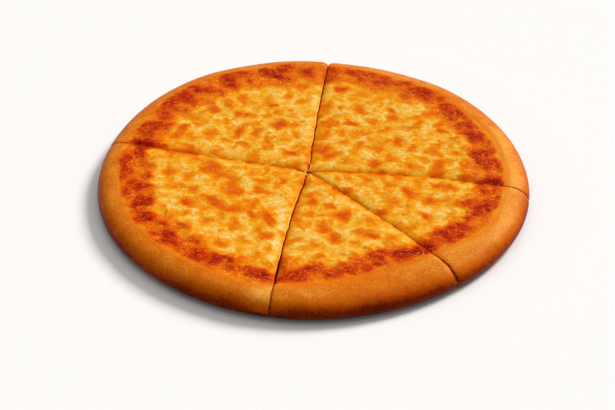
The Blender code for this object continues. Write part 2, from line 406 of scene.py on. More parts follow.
def ridge_reach(angle):
    """How far out the rim is highest."""
    edge = cheese_edge(angle)
    return edge + RIDGE_SHARE * (RADIUS - edge)


def bread_top(at):
    """The height of the bread's upper side: flat under the cheese, then up over the rim."""
    reach, angle = at["reach"], at["angle"]
    start = cheese_edge(angle) - RIM_RISE
    ridge = ridge_reach(angle)
    height = RIM_HEIGHT + waves(RIM_WAVES, angle)
    rise = smooth((reach - start) / (ridge - start))
    level = BASE_THICKNESS + (height - BASE_THICKNESS) * rise
    out = np.clip((reach - ridge) / (RADIUS - ridge), 0, 1)
    over = BULGE_HEIGHT + (height - BULGE_HEIGHT) * np.sqrt(1 - out * out)
    level = np.where(reach > ridge, over, level)
    return level - at["drop"] * rise * rounding(at["beside"], SHOULDER_WIDTH)


def baked_top(at):
    """The bread's upper side with the gentle lumps that its rim has from baking."""
    before, run = LUMPS_START
    on_rim = smooth((at["reach"] - cheese_edge(at["angle"]) + before) / run)
    start, run = LUMPS_END
    turned_out = np.clip((at["reach"] - start) / run, 0, 1)
    return bread_top(at) + on_rim * lumps(at["x"], at["y"], RIM_LUMPS) * (1 - turned_out**4)


def bread_base(reach):
    """The height of the bread's lower side, flat out to where the rim rounds up."""
    out = np.clip((reach - CONTACT_RADIUS) / (RADIUS - CONTACT_RADIUS), 0, 1)
    return BULGE_HEIGHT * (1 - np.sqrt(1 - out * out))


def border(rows, columns):
    """Vertex numbers round a grid, counter-clockwise from above."""
    out = [(row, 0) for row in range(rows - 1)]
    along = [(rows - 1, column) for column in range(columns - 1)]
    home = [(row, columns - 1) for row in range(rows - 1, 0, -1)]
    tip = [(0, column) for column in range(columns - 1, 0, -1)]
    return [row * columns + column for row, column in out + along + home + tip]


def every(step, count):
    """Every so many numbers below the count, and the last of them."""
    return np.append(np.arange(0, count - 1, step), count - 1)


def quads(rows, columns):
    """The faces of a grid, counter-clockwise from above."""
    corner = (np.arange(rows - 1)[:, None] * columns + np.arange(columns - 1)).ravel()
    return np.stack([corner, corner + columns, corner + columns + 1, corner + 1], axis=1)


def closed_piece(name, top, base, wall_rows, step=1):
    """A solid from an upper and a lower grid of points with walls of some rows between them.

    The lower grid keeps only every so many of its rows and columns. The vertices of the upper
    grid come first, then the lower ones and the walls'. The answer is the object and how many
    vertices it has.
    """
    rows, columns = top.shape[:2]
    kept_rows, kept_columns = every(step, rows), every(step, columns)
    lower = base[np.ix_(kept_rows, kept_columns)].reshape(-1, 3)
    upper_count = rows * columns
    ring = np.array(border(rows, columns))
    high, low = top.reshape(-1, 3)[ring], base.reshape(-1, 3)[ring]
    points = [top.reshape(-1, 3), lower]
    loops = [ring]
    start = upper_count + len(lower)
    for row in range(1, wall_rows):
        share = row / wall_rows
        loops.append(start + (row - 1) * len(ring) + np.arange(len(ring)))
        points.append(high * (1 - share) + low * share)
    faces = quads(rows, columns).tolist()
    faces += (quads(len(kept_rows), len(kept_columns))[:, ::-1] + upper_count).tolist()
    for above, below in zip(loops, loops[1:]):
        faces += np.stack([above, below, np.roll(below, -1), np.roll(above, -1)], axis=1).tolist()
    # The last row of wall faces bridges from the full ring to the kept lower vertices
    kept = np.isin(ring // columns, kept_rows) & np.isin(ring % columns, kept_columns)
    stations = np.flatnonzero(kept)
    row_at = np.searchsorted(kept_rows, ring[stations] // columns)
    column_at = np.searchsorted(kept_columns, ring[stations] % columns)
    feet = upper_count + row_at * len(kept_columns) + column_at
    for i, station in enumerate(stations):
        following = stations[(i + 1) % len(stations)]
        span = (following - station) % len(ring)
        above = [int(loops[-1][(station + k) % len(ring)]) for k in range(span, -1, -1)]
        faces.append([*above, int(feet[i]), int(feet[(i + 1) % len(stations)])])
    vertices = np.concatenate(points)
    return add_mesh(name, vertices, faces), len(vertices)


def merge_coincident(mesh):
    """Joins vertices that lie at the same place, and drops the faces between them."""
    form = bmesh.new()
    form.from_mesh(mesh)
    bmesh.ops.remove_doubles(form, verts=form.verts, dist=1e-6)
    form.to_mesh(mesh)
    form.free()


def store(mesh, name, values, total, rest=0.0):
    """A number for each vertex, for the materials; those after the values take the rest."""
    whole = np.full(total, rest, dtype=np.float32)
    whole[: values.size] = values.ravel()
    mesh.attributes.new(name, "FLOAT", "POINT").data.foreach_set("value", whole)


def coat(piece, finish, sharp_from):
    """Gives a piece its material, smooth but for edges that bend by more than an angle in degrees."""
    piece.data.materials.append(finish)
    piece.data.shade_smooth()
    piece.data.set_sharp_from_angle(angle=math.radians(sharp_from))


class Value:
    """A node socket as a number in Python: arithmetic on it adds Math nodes."""

    def __init__(self, tree, socket=None):
        self.tree = tree
        self.socket = socket

    def node(self, kind, settings=None, sockets=None, output=0):
        """Adds any node: its settings come first, then the values or links of its sockets."""
        made = self.tree.nodes.new(kind)
        for name, value in (settings or {}).items():
            if name == "stops":
                while len(made.color_ramp.elements) < len(value):
                    made.color_ramp.elements.new(1.0)
                for element, (place, stop_colour) in zip(made.color_ramp.elements, value):
                    element.position = place
                    element.color = stop_colour
            else:
                setattr(made, name, value)
        for name, value in (sockets or {}).items():
            if isinstance(value, Value):
                self.tree.links.new(value.socket, made.inputs[name])
            else:
                made.inputs[name].default_value = value
        return Value(self.tree, made.outputs[output])

    def math(self, operation, *others):
        values = {i: value for i, value in enumerate(others)}
        return self.node("ShaderNodeMath", {"operation": operation}, values)

    def __add__(self, other):
        return self.math("ADD", self, other)

    def __radd__(self, other):
        return self.math("ADD", other, self)

    def __sub__(self, other):
        return self.math("SUBTRACT", self, other)

    def __rsub__(self, other):
        return self.math("SUBTRACT", other, self)

    def __mul__(self, other):
        return self.math("MULTIPLY", self, other)

    def __rmul__(self, other):
        return self.math("MULTIPLY", other, self)

    def clamped(self, low=0.0, high=1.0):
        return self.math("MINIMUM", self.math("MAXIMUM", self, low), high)

    def ramp(self, low, high):
        """0 below low, 1 above high and smooth between."""
        sockets = {"Value": self, "From Min": low, "From Max": high}
        return self.node("ShaderNodeMapRange", {"interpolation_type": "SMOOTHSTEP"}, sockets)

    def coloured(self, *stops):
        """A colour that changes with this number, from stops of a place and a colour."""
        return self.node("ShaderNodeValToRGB", {"stops": stops}, {"Fac": self}, "Color")

    def attribute(self, name):
        return self.node("ShaderNodeAttribute", {"attribute_name": name}, output="Fac")

    def noise(self, scale, detail=2.0, stretch=(1, 1, 1), turn=0.0, distortion=0.0):
        """Noise on Object coordinates; the scale is in waves a metre."""
        place = self.node("ShaderNodeTexCoord", output="Object")
        sockets = {"Vector": place, "Scale": stretch, "Rotation": (0, 0, turn)}
        where = self.node("ShaderNodeMapping", {}, sockets)
        sockets = {"Vector": where, "Scale": scale, "Detail": detail, "Distortion": distortion}
        return self.node("ShaderNodeTexNoise", {}, sockets, "Fac")

    def mix(self, factor, first, second):
        """The first colour turning into the second as the factor goes from 0 to 1."""
        colours = {0: factor, 6: first, 7: second}
        return self.node("ShaderNodeMix", {"data_type": "RGBA"}, colours, 2)

    def bump(self, height, strength, distance):
        sockets = {"Strength": strength, "Distance": distance, "Height": height}
        return self.node("ShaderNodeBump", {}, sockets, "Normal")


def varied(tone, *noises):
    """A number that noises move up and down from where it is, each with its weight."""
    for noise, weight in noises:
        tone = tone + (noise - 0.5) * weight
    return tone


def colour(red, green, blue):
    """A colour as seen on a screen, 0 to 255, in the shader's linear values."""
    parts = np.array((red, green, blue)) / 255
    linear = np.where(parts <= 0.04045, parts / 12.92, ((parts + 0.055) / 1.055) ** 2.4)
    return (*(float(part) for part in linear), 1.0)


def connect(finish, links):
    shader = finish.node_tree.nodes["Principled BSDF"]
    for socket, value in links.items():
        finish.node_tree.links.new(value.socket, shader.inputs[socket])


CRUST_LOOKS = {
    "Subsurface Weight": 0.14,
    "Subsurface Radius": (0.0030, 0.0012, 0.0003),
    "Subsurface Scale": 1.0,
    "Specular IOR Level": 0.05,
    "Specular Tint": (1.0, 0.66, 0.32, 1.0),
}
CRUST_STOPS = (
    (0.00, colour(58, 9, 0)),
    (0.25, colour(122, 34, 0)),
    (0.50, colour(184, 76, 2)),
    (0.75, colour(214, 111, 13)),
    (1.00, colour(243, 172, 70)),
)
TOASTED = colour(224, 108, 4)
CRUMB_STOPS = ((0.35, colour(196, 128, 52)), (0.65, colour(238, 196, 120)))


def crust_skin(v):
    """The baked skin's colour, the height of its fine relief, and its pores and mottling."""
    mottle = v.noise(75, 4.0)
    patches = v.noise(24, 3.0)
    grain = v.noise(1600, 2.0)
    pores = v.noise(560, 3.0)
    # Painted shade darkens the skin in a thin line along each cut; the golden share brings painted light
    # and shade too
    tone = v.attribute("rim") - v.attribute("edge").ramp(0.86, 0.99) * 0.35
    tone = varied(tone, (mottle, 0.30), (patches, 0.28), (pores, 0.30), (grain, 0.36))
    toasted = varied(v.attribute("fringe"), (mottle, 1.3), (pores, 0.9)).ramp(0.42, 1.25)
    skin = v.mix(toasted * 0.75, tone.coloured(*CRUST_STOPS), TOASTED)
    relief = grain * 0.25 + pores * 0.6 + mottle * 1.2
    return skin, relief, pores, mottle


crust_finish = new_finish("baked_crust", CRUST_LOOKS)
v = Value(crust_finish.node_tree)
skin, relief, pores, mottle = crust_skin(v)
skin = v.mix(v.attribute("crumb"), skin, v.noise(380, 3.0).coloured(*CRUMB_STOPS))
sheen = varied(0.40, (pores, 0.25), (mottle, 0.20)).clamped(0.25, 0.8)
connect(crust_finish, {"Base Color": skin, "Roughness": sheen, "Normal": v.bump(relief, 0.45, 0.0008)})

UNDER_ROWS = 16
RIM_ROWS = 16
OVER_ROWS = 40
CRUST_TIP_ROWS = 3
CRUST_WALL_ROWS = 4
UNDER_MARGIN = 0.004

# How golden the skin is at the bulge, how much more on top, how it changes round the pizza, and
# at the foot and from there up to the bulge. Darker down the side and at the foot: partly a
# browner bake, partly painted shade. The first wave round the pizza is painted light that pales
# the right side; the others vary the bake
SIDE_GOLD = 0.24
TOP_GOLD = 0.54
GOLD_START = 0.04
BAKE_AND_LIGHT_WAVES = ((1, 0.030, -15), (2, 0.045, 0), (3, 0.02, 60))
FOOT_GOLD = 0.08
LOWER_GOLD = 0.20

# The rim's inner side is toasted this far past the cheese's edge, and less and less beyond it
TOASTED_REACH = 0.0028
TOASTED_FADE = 0.0080

# The side towards the light: its direction, how much painted light pales the crest there and how
# much painted shade darkens the slope
LIGHT_SIDE = math.radians(25)
PAINTED_CREST_LIGHT = 0.04
CREST_WIDTH = 0.0045
PAINTED_SLOPE_SHADE = 0.03
SLOPE_WIDTH = 0.009

# How much painted light and painted sheen pale each slice's crust beside its first and its second cut
PAINTED_LIGHT_BESIDE_CUTS = {1: (0.0, 0.0), 2: (0.0, 0.0), 3: (0.0, 0.26), 4: (0.10, 0.05), 5: (0.0, 0.0)}
PAINTED_LIGHT_WIDTH = 0.016
PAINTED_CUT_SHADE_WIDTH = 0.0065


def bread_reach(level, angle):
    """A ring's reach: under the cheese up to level 1, to the ridge at 2, to the bulge at 3."""
    start = cheese_edge(angle) - UNDER_MARGIN
    ridge = ridge_reach(angle)
    under = level * start
    up = start + (level - 1) * (ridge - start)
    over = ridge + (RADIUS - ridge) * np.sin(np.clip(level - 2, 0, 1) * math.pi / 2)
    return np.where(level < 1, under, np.where(level < 2, up, over))


def bake_and_painted_light(at, height, painted_light):
    """How golden the skin is, paler on top than down its side, and how toasted its inner side."""
    angle, reach = at["angle"], at["reach"]
    share = np.clip((height - BULGE_HEIGHT) / (RIM_HEIGHT - BULGE_HEIGHT), 0, 1)
    # Paler on top than down the side: partly the bake, partly painted shade lower down
    golden = SIDE_GOLD + TOP_GOLD * smooth(share * (1 + GOLD_START) - GOLD_START)
    # The first wave is painted light on the right side, and painted light pales the crust by some cuts
    golden += waves(BAKE_AND_LIGHT_WAVES, angle) + by_side(at, painted_light) * bell(at["beside"], PAINTED_LIGHT_WIDTH)
    # Painted light on the crest and painted shade on the outer slope, on the side towards the light
    to_light = smooth(0.2 + 0.8 * np.cos(angle - LIGHT_SIDE))
    past_ridge = reach - ridge_reach(angle)
    golden += to_light * PAINTED_CREST_LIGHT * bell(past_ridge, CREST_WIDTH)
    golden -= to_light * PAINTED_SLOPE_SHADE * smooth(past_ridge / SLOPE_WIDTH)
    toasted = 1 - smooth((reach - cheese_edge(angle) - TOASTED_REACH) / TOASTED_FADE)
    return golden, toasted


def near_cut(at):
    """1 at a cut, falling evenly to 0 where its painted shade ends."""
    return np.clip(1 - at["beside"] / PAINTED_CUT_SHADE_WIDTH, 0, 1)


cuts = [Cut(*cut) for cut in CUTS]
slices = [
    Slice(first, second, number)
    for number, (first, second) in enumerate(zip(cuts[-1:] + cuts[:-1], cuts), start=1)
]
bread_levels = np.concatenate([
    np.linspace(0, 1, UNDER_ROWS, endpoint=False),
    1 + np.linspace(0, 1, RIM_ROWS, endpoint=False),
    2 + np.linspace(0, 1, OVER_ROWS + 1),
])

cut_edges = {}
for piece in slices:
    at = piece.grid("crust", bread_reach, bread_levels, CRUST_TIP_ROWS, at_rim=True)
    top = np.stack([at["x"], at["y"], baked_top(at)], axis=2)
    base = np.stack([at["x"], at["y"], bread_base(at["reach"])], axis=2)
    base[-1] = top[-1]
    crust, total = closed_piece(f"baked_crust_{piece.number}", top, base, CRUST_WALL_ROWS)
    cut_edges[piece.number] = top[UNDER_ROWS:, 0]
    # How golden the crust is carries its painted light and shade; how toasted its inner side is
    golden, toasted = bake_and_painted_light(at, top[..., 2], PAINTED_LIGHT_BESIDE_CUTS[piece.number])
    # Darker towards the foot underneath: partly a browner bake, partly painted shade
    golden_base = np.clip(base[..., 2] / BULGE_HEIGHT, 0, 1) * LOWER_GOLD + FOOT_GOLD
    golden_base += waves(BAKE_AND_LIGHT_WAVES, at["angle"])
    rows, columns = golden.shape
    on_cut = np.array(border(rows, columns)) < (rows - 1) * columns
    crumb = np.concatenate([np.zeros(2 * rows * columns), np.tile(on_cut, CRUST_WALL_ROWS - 1)])
    store(crust.data, "rim", np.stack([golden, golden_base]), total)
    store(crust.data, "fringe", toasted, total)
    store(crust.data, "edge", near_cut(at), total)
    store(crust.data, "crumb", crumb, total)
    merge_coincident(crust.data)
    coat(crust, crust_finish, sharp_from=55)
    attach(crust, "root")
    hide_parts(f"crust_{piece.number}")

# Sauce
# A thin red layer of cooked tomato between the bread and the cheese, seen only in the cuts. It
# follows the bread's upper side, a little clear of it.
SAUCE_THICKNESS = 0.0012
GAP = 0.0003
SAUCE_MARGIN = 0.001
SAUCE_LEVELS = np.linspace(0, 1, 60)
SAUCE_TIP_ROWS = 3
SAUCE_WALL_ROWS = 2
PULP_STOPS = ((0.3, colour(120, 18, 4)), (0.7, colour(176, 48, 10)))

sauce_finish = new_finish("tomato_sauce", {"Roughness": 0.35})
v = Value(sauce_finish.node_tree)
pulp = v.noise(400, 3.0).coloured(*PULP_STOPS)
connect(sauce_finish, {"Base Color": pulp, "Normal": v.bump(v.noise(900, 2.0), 0.5, 0.0004)})


def sauce_reach(level, angle):
    return level * (cheese_edge(angle) - SAUCE_MARGIN)


for piece in slices:
    at = piece.grid("sauce", sauce_reach, SAUCE_LEVELS, SAUCE_TIP_ROWS)
    low = bread_top(at) + GAP
    base = np.stack([at["x"], at["y"], low], axis=2)
    top = np.stack([at["x"], at["y"], low + SAUCE_THICKNESS], axis=2)
    sauce, _ = closed_piece(f"tomato_layer_{piece.number}", top, base, SAUCE_WALL_ROWS)
    coat(sauce, sauce_finish, sharp_from=50)
    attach(sauce, "root")
    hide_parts(f"sauce_{piece.number}")

# Cheese
# A melted layer that rounds off along the cuts and thins out against the rim. It browned in
# round spots, and in a ring of dark swollen blisters near the rim.
CHEESE_ROWS = 215
CHEESE_WALL_ROWS = 3
CHEESE_BASE_STEP = 4
TIP_ROWS = 14
CHEESE_MIDDLE = 0.0136
CHEESE_RISE = 0.0020
RISE_MARGIN = 0.004
SPOT_DIP = 0.00012

# The lumps of the melted surface, each with its size, height and seed. The finest are higher
# where it is dark
CHEESE_LUMPS = ((0.014, 0.00030, 61), (0.0055, 0.00016, 62))
CURD_SIZE = 0.0022
CURD_SEED = 63
CURD_HEIGHT = 0.00008
DARK_CURD_HEIGHT = 0.00013

# How deep and how wide the cheese rounds off at a cut, and how deep where the knife drew it up
CHEESE_SHOULDER = 0.0021
CHEESE_SHOULDER_WIDTH = 0.0085
CHEESE_SHOULDER_POWER = 2.6
DRAWN_SHOULDER = 0.0011

# How far past the rim's ridge the cheese ran, and more at the back, with a ragged end
CHEESE_RUN = 0.0034
BACK_RUN = 0.0020
BACK_START = 0.25
BACK_FADE = 0.55
END_RAG = (0.009, 0.0011, 51)
END_RAG_REACH = 0.13

# How far inside its edge the cheese starts to climb the rim, how thin it is there at least, how
# it sinks into the skin at its end, and how deep and from where on its lower side is rooted
CLIMB = 0.0060
CHEESE_FILM = 0.0001
CHEESE_DIP = 0.0002
END_SINK = 0.0040
CHEESE_ROOT = 0.0045
ROOT_START = (0.005, 0.004)

# The dark blisters of each slice: place and radius in millimetres, and how dark they are
BLISTERS = (
    (-22, 130, 6.0, 0.9), (-39, 124, 4.0, 1.0), (-32, 123, 5.0, 0.95), (-28, 119, 4.0, 0.85),
    (-5, 125, 5.0, 0.75), (-3, 120, 4.0, 0.6), (-20, 113, 4.0, 0.7), (-25, 116, 4.0, 0.6),
    (-59, 123, 5.0, 0.8), (-50, 122, 4.0, 0.65), (-67, 115, 5.5, 1.0), (-63, 112, 4.0, 0.8),
    (-60, 103, 4.0, 0.75), (-64, 107, 4.0, 0.6), (-48, 111, 3.0, 0.6), (-42, 103, 3.0, 0.45),
    (-94, 102, 4.5, 0.85), (-87, 98, 4.0, 0.75), (-79, 98, 4.0, 0.6), (-73, 98, 3.5, 0.55),
    (-67, 94, 3.5, 0.5), (-99, 93, 6.0, 1.0), (-95, 89, 4.0, 0.9), (-106, 82, 5.0, 0.95),
    (-91, 82, 5.0, 0.85), (-97, 85, 4.0, 0.7), (-111, 74, 5.0, 0.75), (-100, 71, 4.0, 0.6),
    (-108, 63, 5.0, 0.65), (-91, 69, 3.5, 0.5), (-122, 51, 4.0, 0.75), (-113, 49, 5.5, 0.9),
    (-104, 48, 3.5, 0.7), (-123, 42, 5.0, 0.8), (-117, 38, 5.0, 0.75), (-125, 28, 5.0, 1.0),
    (-117, 26, 6.0, 0.95), (-107, 24, 4.0, 0.6), (-64, 83, 4.5, 0.5), (-61, 76, 4.5, 0.6),
    (14, 130, 5.0, 0.7), (14, 120, 6.0, 0.45), (22, 134, 4.0, 0.4), (28, 128, 4.5, 0.8),
    (33, 123, 5.0, 0.75), (43, 126, 4.0, 0.8), (43, 121, 3.0, 0.6), (37, 116, 4.0, 0.6),
    (53, 118, 5.0, 0.9), (49, 112, 5.0, 0.6), (57, 111, 4.0, 0.6), (63, 110, 3.5, 0.65),
    (69, 112, 3.5, 0.7), (73, 109, 3.0, 0.5), (79, 102, 5.0, 0.9), (73, 99, 4.0, 0.6),
    (86, 98, 4.5, 0.85), (81, 95, 4.0, 0.85), (86, 91, 3.5, 0.75), (69, 92, 4.0, 0.7),
    (71, 85, 3.5, 0.6), (78, 84, 2.5, 0.5), (96, 90, 3.5, 0.55), (97, 79, 5.0, 0.9),
    (104, 81, 3.5, 0.5), (100, 71, 4.5, 0.85), (107, 72, 5.0, 0.9), (111, 68, 4.0, 0.7),
    (102, 65, 4.0, 0.6), (111, 57, 4.0, 0.7), (116, 54, 4.0, 0.8), (106, 54, 3.5, 0.7),
    (114, 44, 5.0, 0.9), (120, 40, 4.5, 0.8), (115, 38, 5.0, 1.0), (106, 45, 3.5, 0.65),
    (125, 32, 3.0, 0.5), (103, 36, 4.0, 0.5), (108, 26, 4.0, 0.5), (122, 21, 4.0, 0.85),
    (115, 18, 5.0, 1.0), (128, 22, 3.5, 0.6), (118, 10, 5.0, 0.8), (109, 6, 5.0, 0.9),
    (126, 10, 4.0, 0.8), (130, 6, 4.0, 0.75), (122, 2, 4.0, 0.7), (132, 0, 3.5, 0.5),
    (106, 0, 4.0, 0.65), (109, -8, 5.0, 0.7), (124, -12, 5.0, 1.0), (129, -15, 5.0, 0.95),
    (118, -15, 4.0, 1.0), (105, -10, 3.5, 0.6), (105, -36, 5.0, 0.75), (101, -42, 4.5, 0.8),
    (107, -43, 3.5, 0.6), (118, -40, 4.5, 0.85), (125, -36, 3.5, 0.8), (113, -46, 4.5, 0.85),
    (119, -45, 4.0, 0.7), (108, -52, 4.0, 0.75), (113, -53, 4.0, 0.65), (105, -58, 4.5, 0.75),
    (98, -64, 5.0, 0.95), (92, -68, 4.5, 0.85), (87, -74, 4.5, 0.85), (92, -80, 4.5, 0.95),
    (97, -75, 4.0, 0.75), (80, -75, 4.5, 0.65), (75, -82, 5.0, 0.65), (83, -82, 4.0, 0.55),
    (79, -89, 5.0, 0.6), (92, -86, 3.0, 0.6), (118, -27, 3.5, 0.6), (115, -21, 3.5, 0.6),
    (125, -25, 3.5, 0.5), (109, -29, 4.0, 0.4), (93, -54, 4.0, 0.45), (102, -69, 4.0, 0.65),
    (69, -93, 5.0, 0.95), (61, -95, 4.5, 0.95), (56, -98, 4.5, 0.95), (75, -93, 3.5, 0.75),
    (48, -94, 4.0, 0.75), (39, -98, 4.5, 0.8), (44, -101, 4.0, 0.8), (37, -91, 4.0, 0.5),
    (59, -106, 4.0, 0.7), (63, -102, 4.0, 0.7), (43, -107, 4.0, 0.75), (28, -105, 4.5, 0.9),
    (20, -109, 5.0, 0.6), (25, -113, 4.5, 0.75), (36, -114, 4.5, 0.75), (44, -117, 3.5, 0.65),
    (18, -117, 4.0, 0.65), (12, -120, 4.5, 0.75), (4, -101, 3.5, 0.5), (8, -99, 3.5, 0.5),
    (3, -110, 5.0, 0.8), (-3, -113, 5.0, 0.9), (-8, -116, 4.5, 0.8), (-14, -110, 5.0, 0.6),
    (-12, -120, 5.0, 0.85), (-5, -124, 4.5, 0.8), (-16, -117, 4.0, 0.75), (-18, -124, 3.5, 0.75),
    (-17, -106, 4.0, 0.5), (61, -88, 4.0, 0.45), (51, -85, 4.0, 0.4), (-10, -103, 4.0, 0.45),
    (51, -111, 4.0, 0.6), (28, -98, 3.0, 0.4), (-123, 16, 4.5, 0.95), (-121, 11, 4.0, 0.85),
    (-130, 7, 3.5, 0.9), (-129, 1, 4.0, 0.7), (-119, 2, 4.0, 0.4), (-112, 1, 3.5, 0.45),
    (-131, -4, 4.0, 0.75), (-127, -9, 4.0, 0.75), (-132, -17, 3.5, 0.8), (-113, -14, 4.5, 0.65),
    (-124, -23, 4.0, 0.8), (-117, -26, 5.0, 0.8), (-111, -26, 4.0, 0.75), (-129, -30, 4.0, 0.75),
    (-126, -36, 4.0, 0.7), (-119, -31, 4.0, 0.6), (-106, -33, 4.0, 0.4), (-100, -25, 3.5, 0.35),
    (-114, -41, 5.0, 1.0), (-117, -47, 4.5, 1.0), (-110, -45, 4.0, 0.8), (-119, -53, 4.0, 0.7),
    (-111, -59, 5.0, 1.0), (-109, -63, 4.5, 0.95), (-115, -66, 4.0, 0.75), (-99, -67, 4.0, 0.55),
    (-97, -55, 4.0, 0.4), (-84, -68, 5.0, 0.6), (-82, -72, 3.5, 0.6), (-102, -79, 3.5, 0.8),
    (-95, -79, 4.5, 0.9), (-91, -82, 5.0, 0.95), (-95, -88, 4.5, 0.85), (-89, -88, 4.0, 0.75),
    (-77, -83, 5.0, 0.65), (-72, -86, 4.0, 0.6), (-85, -95, 4.0, 0.65), (-74, -98, 5.0, 1.0),
    (-78, -104, 4.0, 0.8), (-72, -104, 4.0, 0.8), (-63, -102, 4.0, 0.85), (-65, -108, 4.5, 0.85),
    (-60, -107, 3.5, 0.8), (-50, -104, 4.5, 0.9), (-45, -106, 4.0, 0.8), (-55, -103, 3.0, 0.6),
    (-49, -114, 5.0, 0.7), (-38, -111, 4.0, 0.7), (-35, -101, 5.0, 0.45), (-36, -120, 4.0, 0.8),
    (-30, -118, 5.0, 0.9), (-28, -123, 4.0, 0.7), (-40, -117, 4.0, 0.6), (-28, -108, 4.0, 0.55),
    (-135, 2, 3.5, 0.6), (-134, -9, 3.5, 0.6), (-133, 12, 3.5, 0.55), (-133, -23, 3.0, 0.5),
)

# How high a blister swells, how many of its radii its dark and its dome reach, how soft its
# border is, and how unevenly it is browned
BLISTER_HEIGHT = 0.0012
BLISTER_SPREAD = 1.9
BLISTER_FADE = 1.8
DOME_SPREAD = 1.5
DOME_RADIUS = 6.0
BLISTER_MOTTLE = (0.0035, 0.30, 35)

# How far noise shifts the blisters' outlines across and up the plan
BLISTER_SHIFTS = (
    ((0.0080, 0.0017, 31), (0.0030, 0.0006, 32)),
    ((0.0080, 0.0017, 33), (0.0030, 0.0006, 34)),
)


def toasting(x, y):
    """How dark and how swollen the blisters make the cheese at each point."""
    across, up = (place + lumps(x, y, shift) for place, shift in zip((x, y), BLISTER_SHIFTS))
    vary = 0.85 + lumps(x, y, (BLISTER_MOTTLE,))
    pale = 0 * x + 1
    flat = 0 * x + 1
    for place_x, place_y, radius, strength in BLISTERS:
        away = np.hypot(across - place_x / 1000, up - place_y / 1000) * 1000 / radius
        near = away < BLISTER_SPREAD
        fade = strength * smooth((BLISTER_SPREAD - away[near]) / BLISTER_FADE) * vary[near]
        pale[near] *= 1 - np.minimum(fade, 0.95)
        dome = np.clip(1 - (away[near] / DOME_SPREAD) ** 2, 0, 1) ** 2 * radius / DOME_RADIUS
        flat[near] *= 1 - np.minimum(dome, 0.9)
    return 1 - pale, 1 - flat


